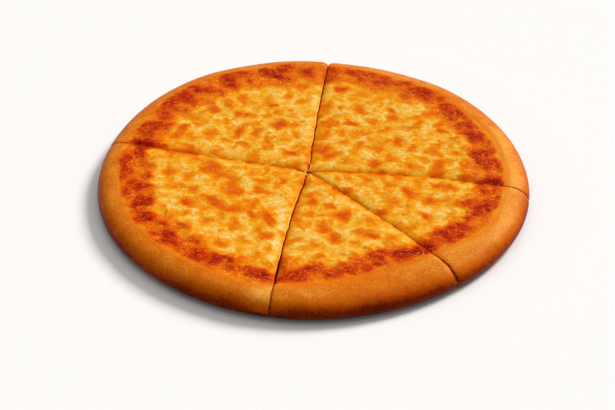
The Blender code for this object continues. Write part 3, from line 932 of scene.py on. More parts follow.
# The larger browned spots of the middle, in the same way
SPOTS = (
    (-76, 81, 4.0, 0.65), (-75, 71, 4.5, 0.7), (-52, 87, 4.5, 0.5), (-56, 67, 3.5, 0.7),
    (-49, 64, 3.5, 0.6), (-98, 38, 4.0, 0.6), (-94, 46, 4.0, 0.65), (-86, 53, 3.0, 0.6),
    (-89, 22, 4.5, 0.6), (-35, 85, 4.0, 0.5), (-31, 78, 3.0, 0.7), (-8, 85, 4.5, 0.45),
    (-20, 91, 3.0, 0.35), (-34, 66, 4.0, 0.5), (-24, 54, 4.5, 0.8), (-14, 54, 3.0, 0.4),
    (-65, 57, 3.0, 0.4), (-43, 53, 3.5, 0.5), (-38, 47, 3.0, 0.5), (-54, 41, 4.5, 0.75),
    (-42, 42, 4.0, 0.55), (-75, 41, 4.0, 0.55), (-64, 33, 3.5, 0.5), (-50, 28, 3.5, 0.5),
    (-33, 32, 4.0, 0.55), (-56, 24, 2.0, 0.4), (-33, 24, 3.0, 0.35), (-12, 43, 3.5, 0.4),
    (-15, 18, 4.5, 0.75), (-43, 14, 4.0, 0.5), (-69, 17, 3.5, 0.5), (-8, 60, 2.5, 0.3),
    (-4, 74, 3.0, 0.4), (-3, 67, 3.0, 0.4), (-28, 50, 3.0, 0.4), (-10, 103, 4.0, 0.45),
    (-20, 101, 4.0, 0.4), (-43, 104, 4.0, 0.6), (-8, 106, 3.0, 0.45), (-10, 5, 4.0, 0.6),
    (-76, 34, 3.0, 0.35), (-86, 33, 3.0, 0.35), (-63, 44, 2.0, 0.3), (-26, 71, 3.0, 0.3),
    (-61, 48, 3.0, 0.3), (-22, 36, 3.0, 0.3), (-79, 56, 3.0, 0.35), (-40, 77, 3.0, 0.3),
    (-15, 73, 3.0, 0.3), (-50, 52, 2.5, 0.3), (12, 57, 4.5, 0.55), (28, 57, 3.5, 0.75),
    (10, 79, 4.0, 0.55), (22, 100, 3.5, 0.6), (36, 97, 4.0, 0.5), (36, 108, 3.5, 0.65),
    (18, 103, 3.0, 0.4), (22, 77, 3.5, 0.5), (33, 74, 4.0, 0.6), (57, 74, 3.0, 0.8),
    (58, 64, 4.0, 0.65), (45, 74, 2.5, 0.4), (43, 58, 4.0, 0.5), (36, 45, 4.0, 0.45),
    (55, 48, 4.0, 0.5), (71, 51, 2.5, 0.4), (91, 57, 3.0, 0.8), (86, 70, 4.0, 0.6),
    (76, 64, 4.0, 0.5), (61, 33, 4.5, 0.7), (70, 25, 3.5, 0.6), (83, 36, 3.0, 0.4),
    (95, 46, 3.5, 0.65), (22, 33, 4.5, 0.45), (32, 28, 3.5, 0.4), (44, 25, 4.5, 0.5),
    (5, 25, 5.0, 0.55), (12, 16, 4.5, 0.65), (24, 11, 4.5, 0.5), (43, 6, 4.5, 0.75),
    (69, 4, 4.0, 0.5), (78, 12, 3.5, 0.5), (87, 19, 3.5, 0.5), (89, 5, 5.0, 0.65),
    (56, 14, 3.5, 0.35), (86, -5, 5.0, 0.6), (60, -5, 3.5, 0.45), (10, 43, 4.0, 0.5),
    (5, 40, 3.0, 0.45), (71, 41, 3.0, 0.35), (89, 28, 3.0, 0.35), (76, 54, 3.0, 0.4),
    (48, 89, 4.0, 0.4), (30, 89, 3.5, 0.35), (101, 19, 3.5, 0.45), (93, 31, 3.0, 0.35),
    (20, 46, 3.0, 0.3), (65, 87, 3.0, 0.4), (49, 36, 2.5, 0.3), (15, 91, 3.0, 0.3),
    (-71, 2, 5.0, 0.6), (-67, -5, 5.0, 0.65), (-75, -4, 4.0, 0.5), (-65, -13, 4.5, 0.55),
    (-58, -10, 4.5, 0.5), (-55, -17, 4.5, 0.5), (-85, -14, 3.5, 0.45), (-96, -6, 4.0, 0.5),
    (-101, 13, 3.5, 0.5), (-91, 12, 4.0, 0.45), (-83, 10, 3.5, 0.45), (-100, -11, 3.0, 0.45),
    (-34, -18, 4.0, 0.6), (-33, -28, 3.5, 0.6), (-20, -15, 4.0, 0.6), (-33, -5, 3.0, 0.4),
    (-42, -5, 3.0, 0.45), (-56, -28, 6.0, 0.75), (-50, -27, 3.5, 0.5), (-82, -28, 3.5, 0.65),
    (-93, -26, 4.0, 0.45), (-74, -37, 4.0, 0.6), (-85, -43, 4.5, 0.8), (-64, -45, 6.0, 0.75),
    (-48, -42, 3.5, 0.5), (-41, -46, 3.5, 0.5), (-54, -50, 5.0, 0.7), (-41, -54, 3.5, 0.7),
    (-72, -63, 4.0, 0.5), (-51, -71, 4.0, 0.45), (-31, -60, 5.0, 0.75), (-30, -52, 3.0, 0.45),
    (-33, -78, 4.5, 0.5), (-28, -80, 3.0, 0.4), (-58, -87, 4.5, 0.55), (-45, -86, 3.5, 0.45),
    (-71, -50, 3.0, 0.3), (-61, -62, 3.0, 0.3), (-84, -55, 3.0, 0.4), (-25, -10, 2.5, 0.3),
    (-1, -40, 4.5, 0.75), (12, -44, 3.0, 0.6), (0, -32, 3.5, 0.45), (-5, -17, 4.0, 0.45),
    (15, -27, 4.5, 0.45), (22, -52, 4.5, 0.75), (15, -56, 3.5, 0.5), (21, -59, 3.5, 0.65),
    (8, -69, 4.5, 0.7), (15, -80, 4.5, 0.7), (39, -76, 3.5, 0.7), (32, -73, 3.5, 0.5),
    (38, -59, 4.0, 0.4), (-2, -53, 3.5, 0.45), (-8, -62, 4.5, 0.45), (0, -87, 3.5, 0.45),
    (-12, -83, 4.0, 0.45), (28, -86, 3.5, 0.4), (53, -79, 4.0, 0.45), (5, -17, 3.0, 0.35),
    (79, -38, 4.5, 0.7), (68, -32, 4.5, 0.6), (66, -28, 4.0, 0.5), (75, -56, 4.5, 0.85),
    (87, -21, 4.5, 0.6), (95, -22, 4.0, 0.55), (74, -17, 4.0, 0.45), (53, -19, 4.0, 0.5),
    (36, -17, 3.5, 0.4), (54, -38, 4.0, 0.45), (67, -69, 3.5, 0.5), (49, -52, 3.5, 0.65),
    (24, -26, 3.5, 0.6), (46, -7, 4.0, 0.4), (66, -42, 3.0, 0.35), (48, -30, 3.0, 0.35),
    (86, -37, 3.0, 0.35), (61, -12, 3.5, 0.4), (25, -10, 3.0, 0.35), (36, -10, 3.0, 0.45),
)
SPOT_SPREAD = 2.0
SPOT_FADE = 1.8
SPOT_LENGTHS = (0.8, 1.35)
SPOT_SHIFTS = (
    ((0.005, 0.0016, 41), (0.011, 0.0022, 43)),
    ((0.005, 0.0013, 42), (0.011, 0.0022, 44)),
)

# Between them lie small random speckles, one for each place of a loose honeycomb
SPECKLE_SPACING = 0.0075
SPECKLE_JITTER = 0.45
SPECKLE_RADII = (0.0012, 0.0032)
SPECKLE_STRENGTHS = (0.10, 0.42)
SPECKLE_PLACES = range(-20, 21)

draw = np.random.default_rng(4)
spots = [(px / 1000, py / 1000, radius / 1000, strength) for px, py, radius, strength in SPOTS]
for row in SPECKLE_PLACES:
    for column in SPECKLE_PLACES:
        in_row = column + 0.5 * (row % 2) + draw.uniform(-SPECKLE_JITTER, SPECKLE_JITTER)
        beyond = row + draw.uniform(-SPECKLE_JITTER, SPECKLE_JITTER)
        looks = draw.uniform(*SPECKLE_RADII), draw.uniform(*SPECKLE_STRENGTHS)
        spots.append((in_row * SPECKLE_SPACING, beyond * SPECKLE_SPACING, *looks))


def spotting(x, y):
    """How browned the spots are at each point: long or round, a dark heart with a soft border."""
    across, up = (place + lumps(x, y, shift) for place, shift in zip((x, y), SPOT_SHIFTS))
    clear = 0 * x + 1
    forms = np.random.default_rng(6)
    for place_x, place_y, radius, strength in spots:
        length, lean = forms.uniform(*SPOT_LENGTHS), forms.uniform(0, math.pi)
        right, ahead = across - place_x, up - place_y
        along = (right * math.cos(lean) + ahead * math.sin(lean)) / length
        aside = (ahead * math.cos(lean) - right * math.sin(lean)) * length
        away = np.hypot(along, aside) / radius
        near = away < SPOT_SPREAD
        clear[near] *= 1 - strength * smooth((SPOT_SPREAD - away[near]) / SPOT_FADE)
    return 1 - clear


CHEESE_LOOKS = {
    "Subsurface Weight": 0.35,
    "Subsurface Radius": (0.0032, 0.0014, 0.0003),
    "Subsurface Scale": 1.0,
    "Specular IOR Level": 0.05,
    "Specular Tint": (1.0, 0.65, 0.30, 1.0),
    "Coat Roughness": 0.20,
}
BROWNING_STOPS = (
    (0.00, colour(245, 209, 134)),
    (0.15, colour(239, 184, 76)),
    (0.30, colour(235, 157, 18)),
    (0.46, colour(228, 122, 0)),
    (0.60, colour(218, 92, 0)),
    (0.76, colour(190, 48, 0)),
    (0.90, colour(158, 24, 0)),
    (1.00, colour(126, 14, 0)),
)

cheese_finish = new_finish("browned_cheese", CHEESE_LOOKS)
v = Value(cheese_finish.node_tree)
toast = v.attribute("toast")
spot = v.attribute("spot")
painted_cut_shade = v.attribute("edge")
band = v.attribute("band")
lip = v.attribute("lip")
clouds = v.noise(70, 2.0)
milky = v.noise(140, 3.0)
curd = v.noise(360, 2.0)
fine = v.noise(1000, 2.0)

# Thin pale threads lie where a stretched noise passes its middle, and cream between the spots. In
# the scorched ring the threads are also painted highlights on the blisters
strands = v.noise(210, 3.0, stretch=(1, 3.0, 1), turn=-0.9, distortion=0.8)
thread_and_sheen = 1 - (v.math("ABSOLUTE", strands - 0.5) * 20.0).clamped()
thread_and_sheen = thread_and_sheen * curd.ramp(0.42, 0.60)
unspotted = ((1 - spot * 1.2) * (1 - painted_cut_shade * 0.8)).clamped()
cream = (milky * 0.45 + curd * 0.55).ramp(0.44, 0.62) * unspotted

# How brown the middle is, and the scorched ring, which take over from each other. Painted shade
# darkens both towards each cut and in a line at the cut, and painted light pales the lips and the
# lit shoulders
painted_seam_shade = painted_cut_shade.ramp(0.80, 0.98) * (1 - lip * 1.3).clamped()
tone = 0.255 + spot * 0.50 + painted_cut_shade * painted_cut_shade * 0.20 + painted_seam_shade * 0.36 - lip * 0.26
tone = varied(tone, (clouds, 0.32), (curd, 0.10)) - cream * 0.22 - thread_and_sheen * unspotted * 0.10
# The pale threads in the ring are partly painted highlights
scorched = 0.57 + toast * 0.38 + painted_seam_shade * 0.10 + painted_cut_shade * 0.08 - thread_and_sheen * 0.42
scorched = varied(scorched, (curd, 0.27), (milky, 0.38), (fine, 0.19))
tone = tone + (scorched - tone) * band

# Towards the rim the cheese is a film that takes on the look of the baked skin
skin, skin_relief, _, mottle = crust_skin(v)
rind = varied(v.attribute("rind"), (curd, 0.7), (mottle, 1.0)).ramp(0.12, 0.85)
relief = fine * 0.30 + curd * 0.9 + thread_and_sheen * 0.35 + milky * 1.5
relief = relief + (skin_relief * 0.75 - relief) * rind
gloss = (fine * 0.5 + curd * 0.5).ramp(0.56, 0.66) * (0.12 + band * 0.50) * (1 - rind)
cheese_links = {
    "Base Color": v.mix(rind, tone.coloured(*BROWNING_STOPS), skin),
    "Roughness": varied(0.42, (curd, 0.35)).clamped(0.18, 0.7),
    "Coat Weight": gloss,
    "Normal": v.bump(relief, 0.36, 0.0010),
}
connect(cheese_finish, cheese_links)

# Which sides of each slice the knife drew up into a thin lip with a painted highlight along it,
# and how much painted light pales its shoulders
LIPS = {1: (0, 0), 2: (1, 0), 3: (1, 1), 4: (0, 1), 5: (0, 1)}
PAINTED_SHOULDER_LIGHT = {1: (0.0, 0.0), 2: (0.8, 0.0), 3: (0.0, 0.6), 4: (0.0, 0.3), 5: (0.0, 0.0)}

# The lip: how far out it is whole, its width, height and raggedness, and how it ends at the rim
LIP_START = 0.012
LIP_WIDTH = 0.0009
LIP_RISE = 0.0004
LIP_RAG = (0.004, 0.6, 65)
LIP_FADE = 0.004

# The painted light on a shoulder: over what stretches it starts and ends, how far from the cut it
# is palest, its width and its patches
SHOULDER_LIGHT_START = (0.02, 0.05)
SHOULDER_LIGHT_END = (0.024, 0.010)
SHOULDER_LIGHT_MIDDLE = 0.0050
SHOULDER_LIGHT_WIDTH = 0.0035
SHOULDER_LIGHT_PATCHES = (0.007, 1.0, 66)

# How much painted shade darkens the cheese's faces in the cuts, where its upper side reaches 1
PAINTED_CUT_FACE_SHADE = 1.2

# The scorched ring: how far in from the cheese's edge it begins, and more at the back and at the
# left, how ragged its inner and outer sides are, and how far out it lasts at the back and the left
RING_INWARD = 0.0220
RING_INWARD_BACK = 0.0025
RING_INWARD_LEFT = 0.002
RING_INNER_RAGS = ((0.022, 0.006, 71), (0.008, 0.004, 72))
RING_INNER_FADE = 0.010
RING_OUTWARD = -0.0015
RING_OUTWARD_BACK = 0.0045
RING_OUTWARD_LEFT = 0.0040
RING_OUTER_RAG = (0.010, 0.003, 73)
RING_OUTER_FADE = 0.006
RING_FADED = 0.85

# From where on the cheese looks like the rim's skin, and over what stretch it comes to that
RIND_START = 0.0020
RIND_RUN = 0.0070


def back_share(angle):
    """1 at the back of the pizza, where the cheese ran further over the rim, and 0 elsewhere."""
    return smooth((np.sin(angle) - BACK_START) / BACK_FADE)


def cheese_end(angle):
    """How far out the melted edge has run, ragged, over the bread."""
    x, y = END_RAG_REACH * np.cos(angle), END_RAG_REACH * np.sin(angle)
    run = CHEESE_RUN + BACK_RUN * back_share(angle) + lumps(x, y, (END_RAG,))
    return ridge_reach(angle) + run


def melted_top(at, dark, swell, brown, drawn, lip):
    """The height of the cheese: lumpy, swollen in its blisters and rounded off along the cuts."""
    x, y = at["x"], at["y"]
    level = CHEESE_MIDDLE + CHEESE_RISE * smooth(at["reach"] / (cheese_edge(at["angle"]) - RISE_MARGIN))
    level += BLISTER_HEIGHT * swell - SPOT_DIP * brown + LIP_RISE * lip
    level += lumps(x, y, CHEESE_LUMPS)
    level += hills(x, y, CURD_SIZE, CURD_SEED) * (CURD_HEIGHT + DARK_CURD_HEIGHT * dark)
    depth = CHEESE_SHOULDER + (DRAWN_SHOULDER - CHEESE_SHOULDER) * drawn
    beside = np.clip(1 - at["beside"] / CHEESE_SHOULDER_WIDTH, 0, 1)
    return level - depth * beside**CHEESE_SHOULDER_POWER


def run_over_rim(at, level, bread):
    """The melted edge climbs to the rim's crown, and its end lies flush with the skin."""
    reach, angle = at["reach"], at["angle"]
    edge, ridge = cheese_edge(angle), ridge_reach(angle)
    crown = RIM_HEIGHT + waves(RIM_WAVES, angle) + bread - bread_top(at)
    crown -= at["drop"] * rounding(at["beside"], SHOULDER_WIDTH)
    crown = np.where(reach > ridge, bread, crown)
    level = level + (crown - level) * smooth((reach - edge + CLIMB) / (ridge - edge + CLIMB))
    out = smooth((reach - cheese_end(angle) + END_SINK) / END_SINK)
    return np.maximum(level, bread + CHEESE_FILM) - (CHEESE_FILM + CHEESE_DIP) * out


def cheese_base(at, bread):
    """The cheese's lower side: on the sauce, and past its edge rooted deep in the bread.

    Light that soaks into the thin melted edge would be lost through it without that depth.
    """
    before, run = ROOT_START
    sink = smooth((at["reach"] - cheese_edge(at["angle"]) + before) / run)
    return bread + (SAUCE_THICKNESS + GAP * 1.8) * (1 - sink) - CHEESE_ROOT * sink


def scorching(at, dark):
    """How far each point is in the scorched ring or a blister, and how far out the ring lasts."""
    x, y, angle = at["x"], at["y"], at["angle"]
    past_edge = at["reach"] - cheese_edge(angle)
    on_left = np.maximum(0, -np.cos(angle))
    inward = RING_INWARD + RING_INWARD_BACK * np.sin(angle) + RING_INWARD_LEFT * on_left
    inward += lumps(x, y, RING_INNER_RAGS)
    ring = smooth((past_edge + inward) / RING_INNER_FADE)
    outward = RING_OUTWARD_BACK * back_share(angle) + RING_OUTWARD_LEFT * on_left
    fading = past_edge - outward - RING_OUTWARD + lumps(x, y, (RING_OUTER_RAG,))
    ring *= 1 - RING_FADED * smooth(fading / RING_OUTER_FADE)
    return np.maximum(ring, smooth(dark / 0.5) * (0.5 + 0.5 * ring)), outward


cheese_meshes = []
for piece in slices:
    at = piece.grid(
        "cheese",
        lambda level, angle: piece.straight + (cheese_end(angle) - piece.straight) * level,
        np.linspace(0, 1, CHEESE_ROWS),
        TIP_ROWS,
    )
    x, y, reach, beside = at["x"], at["y"], at["reach"], at["beside"]
    past_edge = reach - cheese_edge(at["angle"])
    dark, swell = toasting(x, y)
    brown = spotting(x, y)
    drawn = by_side(at, LIPS[piece.number]) * smooth(reach / LIP_START)
    lip = drawn * bell(beside, LIP_WIDTH) * np.clip(0.75 + lumps(x, y, (LIP_RAG,)), 0, 1.3)
    bread = baked_top(at)
    level = run_over_rim(at, melted_top(at, dark, swell, brown, drawn, lip), bread)
    top = np.stack([x, y, level], axis=2)
    base = np.stack([x, y, cheese_base(at, bread)], axis=2)
    name = f"melted_cheese_{piece.number}"
    cheese, total = closed_piece(name, top, base, CHEESE_WALL_ROWS, CHEESE_BASE_STEP)

    # Painted light pales the lit shoulders beside a cut in patches, from the tip out to the ring
    start, run = SHOULDER_LIGHT_START
    lit_side = by_side(at, PAINTED_SHOULDER_LIGHT[piece.number]) * smooth((reach - start) / run)
    start, run = SHOULDER_LIGHT_END
    shoulder_light = bell(beside - SHOULDER_LIGHT_MIDDLE, SHOULDER_LIGHT_WIDTH) * (1 - smooth((past_edge + start) / run))
    shoulder_light *= np.clip(0.7 + lumps(x, y, (SHOULDER_LIGHT_PATCHES,)), 0, 1)
    band, outward = scorching(at, dark)
    # The film near the rim takes the crust's golden share, with its painted light and shade
    golden, toasted = bake_and_painted_light(at, level, PAINTED_LIGHT_BESIDE_CUTS[piece.number])
    upper_values = {
        "toast": dark,
        "band": band,
        "spot": brown,
        # Painted shade is weaker on the lit shoulders; the lip attribute carries the lip's painted
        # highlight and the shoulders' painted light
        "edge": near_cut(at) * (1 - 0.5 * lit_side),
        "lip": np.maximum(lip, lit_side * shoulder_light) * (1 - smooth(past_edge / LIP_FADE)),
        "rim": golden,
        "fringe": toasted,
        "rind": smooth((past_edge - outward * 0.75 + RIND_START) / RIND_RUN),
    }
    # The vertices of the walls take the rest; for the edge that is the cuts' painted shade
    for label, values in upper_values.items():
        store(cheese.data, label, values, total, PAINTED_CUT_FACE_SHADE if label == "edge" else 0.0)
    coat(cheese, cheese_finish, sharp_from=60)
    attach(cheese, "root")
    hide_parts(f"cheese_{piece.number}")
    cheese_meshes.append(cheese.data)

# Strands
# Thin threads of melted cheese lie all over the slices, pale in the middle and tanned in the
# browned ring. Each is a short bent curve laid on the surface and given a round section.
STRANDS_PER_AREA = 16000
STRAND_LENGTH = 0.0052
STRAND_THICKNESS = 0.00024
STRAND_SIDES = 5
STRAND_STEPS = 6
STRAND_SEED = 10
STRAND_STOPS = (
    (0.0, colour(250, 200, 92)),
    (0.4, colour(246, 178, 66)),
    (0.7, colour(238, 142, 52)),
    (1.0, colour(216, 92, 24)),
)


def new_tree(name, numbers):
    """A Geometry Nodes tree with named number inputs: a Value on it, and its inputs."""
    tree = bpy.data.node_groups.new(name, "GeometryNodeTree")
    tree.interface.new_socket("Geometry", in_out="OUTPUT", socket_type="NodeSocketGeometry")
    tree.interface.new_socket("Geometry", in_out="INPUT", socket_type="NodeSocketGeometry")
    for label in numbers:
        kind = "NodeSocketInt" if label == "Seed" else "NodeSocketFloat"
        tree.interface.new_socket(label, in_out="INPUT", socket_type=kind)
    group = tree.nodes.new("NodeGroupInput")
    return Value(tree), {socket.name: Value(tree, socket) for socket in group.outputs if socket.name}


def random_number(g, low, high, seed):
    return g.node("FunctionNodeRandomValue", {"data_type": "FLOAT"}, {2: low, 3: high, 8: seed}, 1)


def random_vector(g, low, high, seed, size=1.0):
    """A vector with a random number along each axis, times a size."""
    axes = {axis: size * random_number(g, low, high, seed + i) for i, axis in enumerate("XYZ")}
    return g.node("ShaderNodeCombineXYZ", {}, axes)


def named(g, name):
    return g.node("GeometryNodeInputNamedAttribute", {"data_type": "FLOAT"}, {"Name": name})


def scattered(g, given):
    """Points on the open cheese, each with a rotation that stands on it at a random turn."""
    inland = (1 - named(g, "edge") * 2.0).clamped() * (1 - named(g, "rind") * 1.5).clamped()
    upright = g.node("ShaderNodeSeparateXYZ", {}, {0: g.node("GeometryNodeInputNormal")}, "Z")
    wanted = given["Density"] * inland * g.math("GREATER_THAN", upright, 0.5)
    sockets = {"Mesh": given["Geometry"], "Density": wanted, "Seed": given["Seed"]}
    points = g.node("GeometryNodeDistributePointsOnFaces", {"distribute_method": "RANDOM"}, sockets)
    standing = Value(g.tree, points.socket.node.outputs["Rotation"])
    spin = g.node("ShaderNodeCombineXYZ", {}, {"Z": random_number(g, 0.0, 2 * math.pi, 1)})
    spin = g.node("FunctionNodeEulerToRotation", {}, {0: spin})
    settings = {"rotation_space": "LOCAL"}
    turned = g.node("FunctionNodeRotateRotation", settings, {"Rotation": standing, "Rotate By": spin})
    return points, turned


def placed(g, points, instance, rotation, scale):
    """One mesh or curve on each point, as real geometry."""
    sockets = {"Points": points, "Instance": instance, "Rotation": rotation, "Scale": scale}
    copies = g.node("GeometryNodeInstanceOnPoints", {}, sockets)
    return g.node("GeometryNodeRealizeInstances", {}, {"Geometry": copies})


def finish_tree(g, geometry, finish):
    geometry = g.node("GeometryNodeRealizeInstances", {}, {"Geometry": geometry})
    geometry = g.node("GeometryNodeSetShadeSmooth", {}, {"Geometry": geometry})
    geometry = g.node("GeometryNodeSetMaterial", {}, {"Geometry": geometry, "Material": finish})
    outlet = g.tree.nodes.new("NodeGroupOutput")
    g.tree.links.new(geometry.socket, outlet.inputs["Geometry"])
    return g.tree


def grown_piece(name, mesh, tree, numbers):
    """What a tree grows on a mesh, as a plain object of its own."""
    holder = bpy.data.objects.new(name, mesh)
    bpy.context.collection.objects.link(holder)
    modifier = holder.modifiers.new("growth", "NODES")
    modifier.node_group = tree
    for socket in tree.interface.items_tree:
        if socket.in_out == "INPUT" and socket.name in numbers:
            modifier[socket.identifier] = numbers[socket.name]
    evaluated = holder.evaluated_get(bpy.context.evaluated_depsgraph_get())
    grown = bpy.data.meshes.new_from_object(evaluated)
    holder.modifiers.clear()
    holder.data = grown
    return holder


strand_finish = new_finish("strand_cheese", {"Roughness": 0.5, "Specular IOR Level": 0.08})
v = Value(strand_finish.node_tree)
tan = v.attribute("band") * 0.55 + v.attribute("toast") * 0.25 + v.attribute("spot") * 0.8
tan = varied(tan, (v.noise(300, 2.0), 0.5)).clamped()
connect(strand_finish, {"Base Color": tan.coloured(*STRAND_STOPS)})

strand_numbers = {"Density": STRANDS_PER_AREA, "Length": STRAND_LENGTH, "Thickness": STRAND_THICKNESS}
g, given = new_tree("strand_growth", [*strand_numbers, "Seed"])
points, turned = scattered(g, given)
bow = {"Start": (-0.5, 0.0, 0.0), "Middle": (0.1, 0.5, 0.0), "End": (0.5, 0.0, 0.0)}
line = g.node("GeometryNodeCurveQuadraticBezier", {}, {"Resolution": STRAND_STEPS, **bow})
length = given["Length"] * random_number(g, 0.45, 1.5, 2)
stretch = {"X": length, "Y": length * random_number(g, -1.0, 1.0, 3), "Z": 1.0}
lines = placed(g, points, line, turned, g.node("ShaderNodeCombineXYZ", {}, stretch))

# Each strand lies on the nearest face, arched up in its middle and thinner at its ends
along = g.node("GeometryNodeSplineParameter", output="Factor")
arch = g.math("SINE", along * math.pi)
nearest = g.node("GeometryNodeProximity", {"target_element": "FACES"}, {0: given["Geometry"]}, "Position")
lift = g.node("ShaderNodeCombineXYZ", {}, {"Z": given["Thickness"] * (arch * 0.9 - 0.85)})
lines = g.node("GeometryNodeSetPosition", {}, {"Geometry": lines, "Position": nearest, "Offset": lift})
section = {"Resolution": STRAND_SIDES, "Radius": given["Thickness"]}
section = g.node("GeometryNodeCurvePrimitiveCircle", {}, section)
sockets = {"Curve": lines, "Profile Curve": section, "Scale": arch * 0.7 + 0.3, "Fill Caps": True}
strand_tree = finish_tree(g, g.node("GeometryNodeCurveToMesh", {}, sockets), strand_finish)

for piece, cheese_mesh in zip(slices, cheese_meshes):
    numbers = {**strand_numbers, "Seed": STRAND_SEED + piece.number}
    strands = grown_piece(f"cheese_strands_{piece.number}", cheese_mesh, strand_tree, numbers)
    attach(strands, "root")

# Oil
# Tiny beads of melted fat that sweated out of the cheese and catch the light. Each is a ball,
# a little flattened, that stands on the surface.
BEADS_PER_AREA = 9000
BEAD_SIZE = 0.00034
BEAD_SEED = 30
BEAD_PALE = colour(246, 184, 70)
BEAD_BROWN = colour(206, 84, 16)

bead_finish = new_finish("cheese_oil", {"Roughness": 0.12, "Specular IOR Level": 0.5})
v = Value(bead_finish.node_tree)
connect(bead_finish, {"Base Color": v.mix(v.attribute("band"), BEAD_PALE, BEAD_BROWN)})

bead_numbers = {"Density": BEADS_PER_AREA, "Size": BEAD_SIZE}
g, given = new_tree("bead_growth", [*bead_numbers, "Seed"])
points, turned = scattered(g, given)
ball = g.node("GeometryNodeMeshIcoSphere", {}, {"Radius": 1.0, "Subdivisions": 2})
size = given["Size"] * random_number(g, 0.5, 1.5, 4)
sizes = g.node("ShaderNodeCombineXYZ", {}, {"X": size, "Y": size * 0.85, "Z": size * 0.55})
bead_tree = finish_tree(g, placed(g, points, ball, turned, sizes), bead_finish)

for piece, cheese_mesh in zip(slices, cheese_meshes):
    numbers = {**bead_numbers, "Seed": BEAD_SEED + piece.number}
    beads = grown_piece(f"oil_beads_{piece.number}", cheese_mesh, bead_tree, numbers)
    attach(beads, "root")

# Crumbs
# Small rough crumbs of bread that the knife tore loose sit in the cuts through the rim, pale
# as the bread's inside. Each is a ball with its points moved at random, laid on a cut's edge.
CRUMB_SIZE = 0.00036
CRUMB_COUNTS = {1: 5, 2: 7, 3: 4, 4: 15, 5: 9}
CRUMB_STRETCH = (0.30, 0.95)
CRUMB_SEED = 5
TORN_STOPS = ((0.3, colour(206, 116, 26)), (0.7, colour(238, 172, 78)))

crumb_finish = new_finish("torn_bread", {"Roughness": 0.9, "Specular IOR Level": 0.1})
v = Value(crumb_finish.node_tree)
connect(crumb_finish, {"Base Color": v.noise(500, 2.0).coloured(*TORN_STOPS)})

g, given = new_tree("crumb_growth", ["Size", "Seed"])
ball = g.node("GeometryNodeMeshIcoSphere", {}, {"Radius": 1.0, "Subdivisions": 2})
size = given["Size"] * random_number(g, 0.5, 1.4, given["Seed"])
sizes = g.node("ShaderNodeCombineXYZ", {}, {"X": size, "Y": size * 0.7, "Z": size * 0.6})
crumbs = placed(g, given["Geometry"], ball, random_vector(g, 0.0, 6.3, 0), sizes)
shift = random_vector(g, -0.22, 0.22, 7, given["Size"])
crumbs = g.node("GeometryNodeSetPosition", {}, {"Geometry": crumbs, "Offset": shift})
crumb_tree = finish_tree(g, crumbs, crumb_finish)

draw = np.random.default_rng(8)
for piece in slices:
    line = cut_edges[piece.number]
    along = np.sort(draw.uniform(*CRUMB_STRETCH, CRUMB_COUNTS[piece.number])) * (len(line) - 1)
    places = [np.interp(along, np.arange(len(line)), line[:, axis]) for axis in range(3)]
    places = np.stack(places, axis=1) + draw.normal(0, CRUMB_SIZE / 3, (len(along), 3))
    seats = bpy.data.meshes.new("crumb_seats")
    seats.from_pydata(places - (0, 0, CRUMB_SIZE / 2), [], [])
    numbers = {"Size": CRUMB_SIZE, "Seed": CRUMB_SEED}
    crumbs = grown_piece(f"bread_crumbs_{piece.number}", seats, crumb_tree, numbers)
    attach(crumbs, "root")

# Threads
# A few threads of cheese that the knife drew out lie across the cuts and over the slices, pale
# and tapered. Each is a smooth curve through its points, laid on the cheese as a round tube.
THREAD_SIDES = 6
THREAD_STEPS = 8
THREAD_SMOOTHING = 6

# How much of its radius a thread is sunk, how thin its ends are, and how uneven it is
THREAD_SUNK = 0.3
THREAD_ENDS = 0.25
THREAD_UNEVEN = (0.003, 0.25, 91)
THREAD_STOPS = ((0.3, colour(252, 192, 76)), (0.7, colour(255, 214, 112)))

# From how high a thread looks down for the cheese, and below what height it has met a cut
LOOK_DOWN_FROM = 0.05
LOWEST_CHEESE = 0.010

# Each thread: the slice that it belongs to, its radius, and its points over the plan, all in mm
THREADS = (
    (2, 0.38, ((-77.3, 14.0), (-78.3, 20.6), (-80.4, 24.3), (-80.5, 28.7), (-80.6, 33.2))),
    (2, 0.36, ((-75.5, 15.2), (-73.7, 14.6), (-69.3, 13.0), (-65.0, 11.2), (-61.4, 9.8), (-59.5, 9.6))),
    (2, 0.55, ((-54.2, 7.6), (-52.6, 9.6), (-51.4, 9.8), (-49.6, 7.2))),
    (3, 0.40, ((-31.0, 4.4), (-24.0, 2.9), (-17.0, 1.0), (-12.0, -0.6))),
    (1, 0.34, ((-2.9, 10.8), (-1.2, 6.2), (-2.2, 2.4), (-3.4, -0.6))),
    (2, 0.45, ((-8.5, 1.0), (-6.2, 0.2), (-4.6, -1.6), (-5.4, -3.4))),
    (4, 0.40, ((-6.0, -6.4), (-3.6, -4.6), (-1.6, -5.4), (0.4, -7.6))),
    (5, 0.30, ((2.2, -4.6), (5.6, -7.0), (9.4, -10.4), (13.0, -13.6))),
)

thread_finish = new_finish("drawn_cheese", {"Roughness": 0.5, "Specular IOR Level": 0.05})
v = Value(thread_finish.node_tree)
connect(thread_finish, {"Base Color": v.noise(350, 2.0).coloured(*THREAD_STOPS)})

cheese_trees = []
for mesh in cheese_meshes:
    corners = [vertex.co for vertex in mesh.vertices]
    cheese_trees.append(BVHTree.FromPolygons(corners, [face.vertices for face in mesh.polygons]))


def smoothed(row):
    """The row with each number between its ends drawn a little towards its neighbours."""
    return np.concatenate([row[:1], (row[:-2] + 2 * row[1:-1] + row[2:]) / 4, row[-1:]])


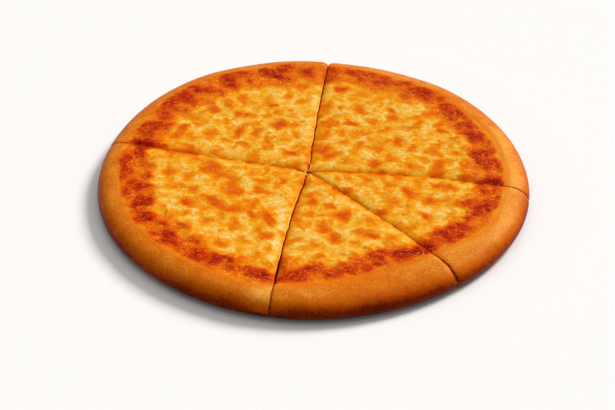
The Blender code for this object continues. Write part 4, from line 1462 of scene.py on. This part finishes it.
def height_on_cheese(x, y):
    """The height of the cheese along a line; over a cut it stays at the last height."""
    heights = []
    for place in zip(x, y):
        start = Vector((*place, LOOK_DOWN_FROM))
        hits = [tree.ray_cast(start, Vector((0, 0, -1)))[0] for tree in cheese_trees]
        found = [hit.z for hit in hits if hit is not None and hit.z > LOWEST_CHEESE]
        heights.append(max(found) if found else heights[-1] if heights else CHEESE_MIDDLE)
    padded = np.pad(heights, 1, mode="edge")
    return np.maximum(smoothed(padded)[1:-1], heights)


def tube(middle, radii, sides):
    """The points and faces of a closed round tube along a line of points."""
    ahead = np.gradient(middle, axis=0)
    aside = np.cross(ahead, (0, 0, 1))
    aside /= np.linalg.norm(aside, axis=1)[:, None]
    over = np.cross(aside, ahead)
    over /= np.linalg.norm(over, axis=1)[:, None]
    turns = 2 * math.pi * np.arange(sides) / sides
    around = aside[:, None] * np.cos(turns)[:, None] + over[:, None] * np.sin(turns)[:, None]
    points = middle[:, None] + around * radii[:, None, None]
    rings = np.arange(len(middle) * sides).reshape(-1, sides)
    faces = [rings[0, ::-1].tolist(), rings[-1].tolist()]
    for near, far in zip(rings, rings[1:]):
        faces += np.stack([near, np.roll(near, -1), np.roll(far, -1), far], axis=1).tolist()
    return points.reshape(-1, 3), faces


def turn_outward(mesh):
    form = bmesh.new()
    form.from_mesh(mesh)
    bmesh.ops.recalc_face_normals(form, faces=form.faces)
    form.to_mesh(mesh)
    form.free()


thread_tubes = {}
for number, radius, points in THREADS:
    steps = np.linspace(0, len(points) - 1, THREAD_STEPS * (len(points) - 1) + 1)
    x, y = (np.interp(steps, range(len(points)), row) for row in np.transpose(points) / 1000)
    for _ in range(THREAD_SMOOTHING):
        x, y = smoothed(x), smoothed(y)
    radius = radius / 1000
    middle = np.stack([x, y, height_on_cheese(x, y) - radius * THREAD_SUNK], axis=1)
    arch = np.sin(math.pi * steps / steps[-1])
    taper = radius * (THREAD_ENDS + (1 - THREAD_ENDS) * arch**0.6)
    taper *= 1 + lumps(x, y, (THREAD_UNEVEN,))
    thread_tubes.setdefault(number, []).append(tube(middle, taper, THREAD_SIDES))

for number, tubes in thread_tubes.items():
    points, faces = [], []
    for tube_points, tube_faces in tubes:
        faces += [[len(points) + corner for corner in face] for face in tube_faces]
        points += tube_points.tolist()
    threads = add_mesh(f"drawn_threads_{number}", points, faces)
    turn_outward(threads.data)
    threads.data.materials.append(thread_finish)
    threads.data.shade_smooth()
    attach(threads, "root")
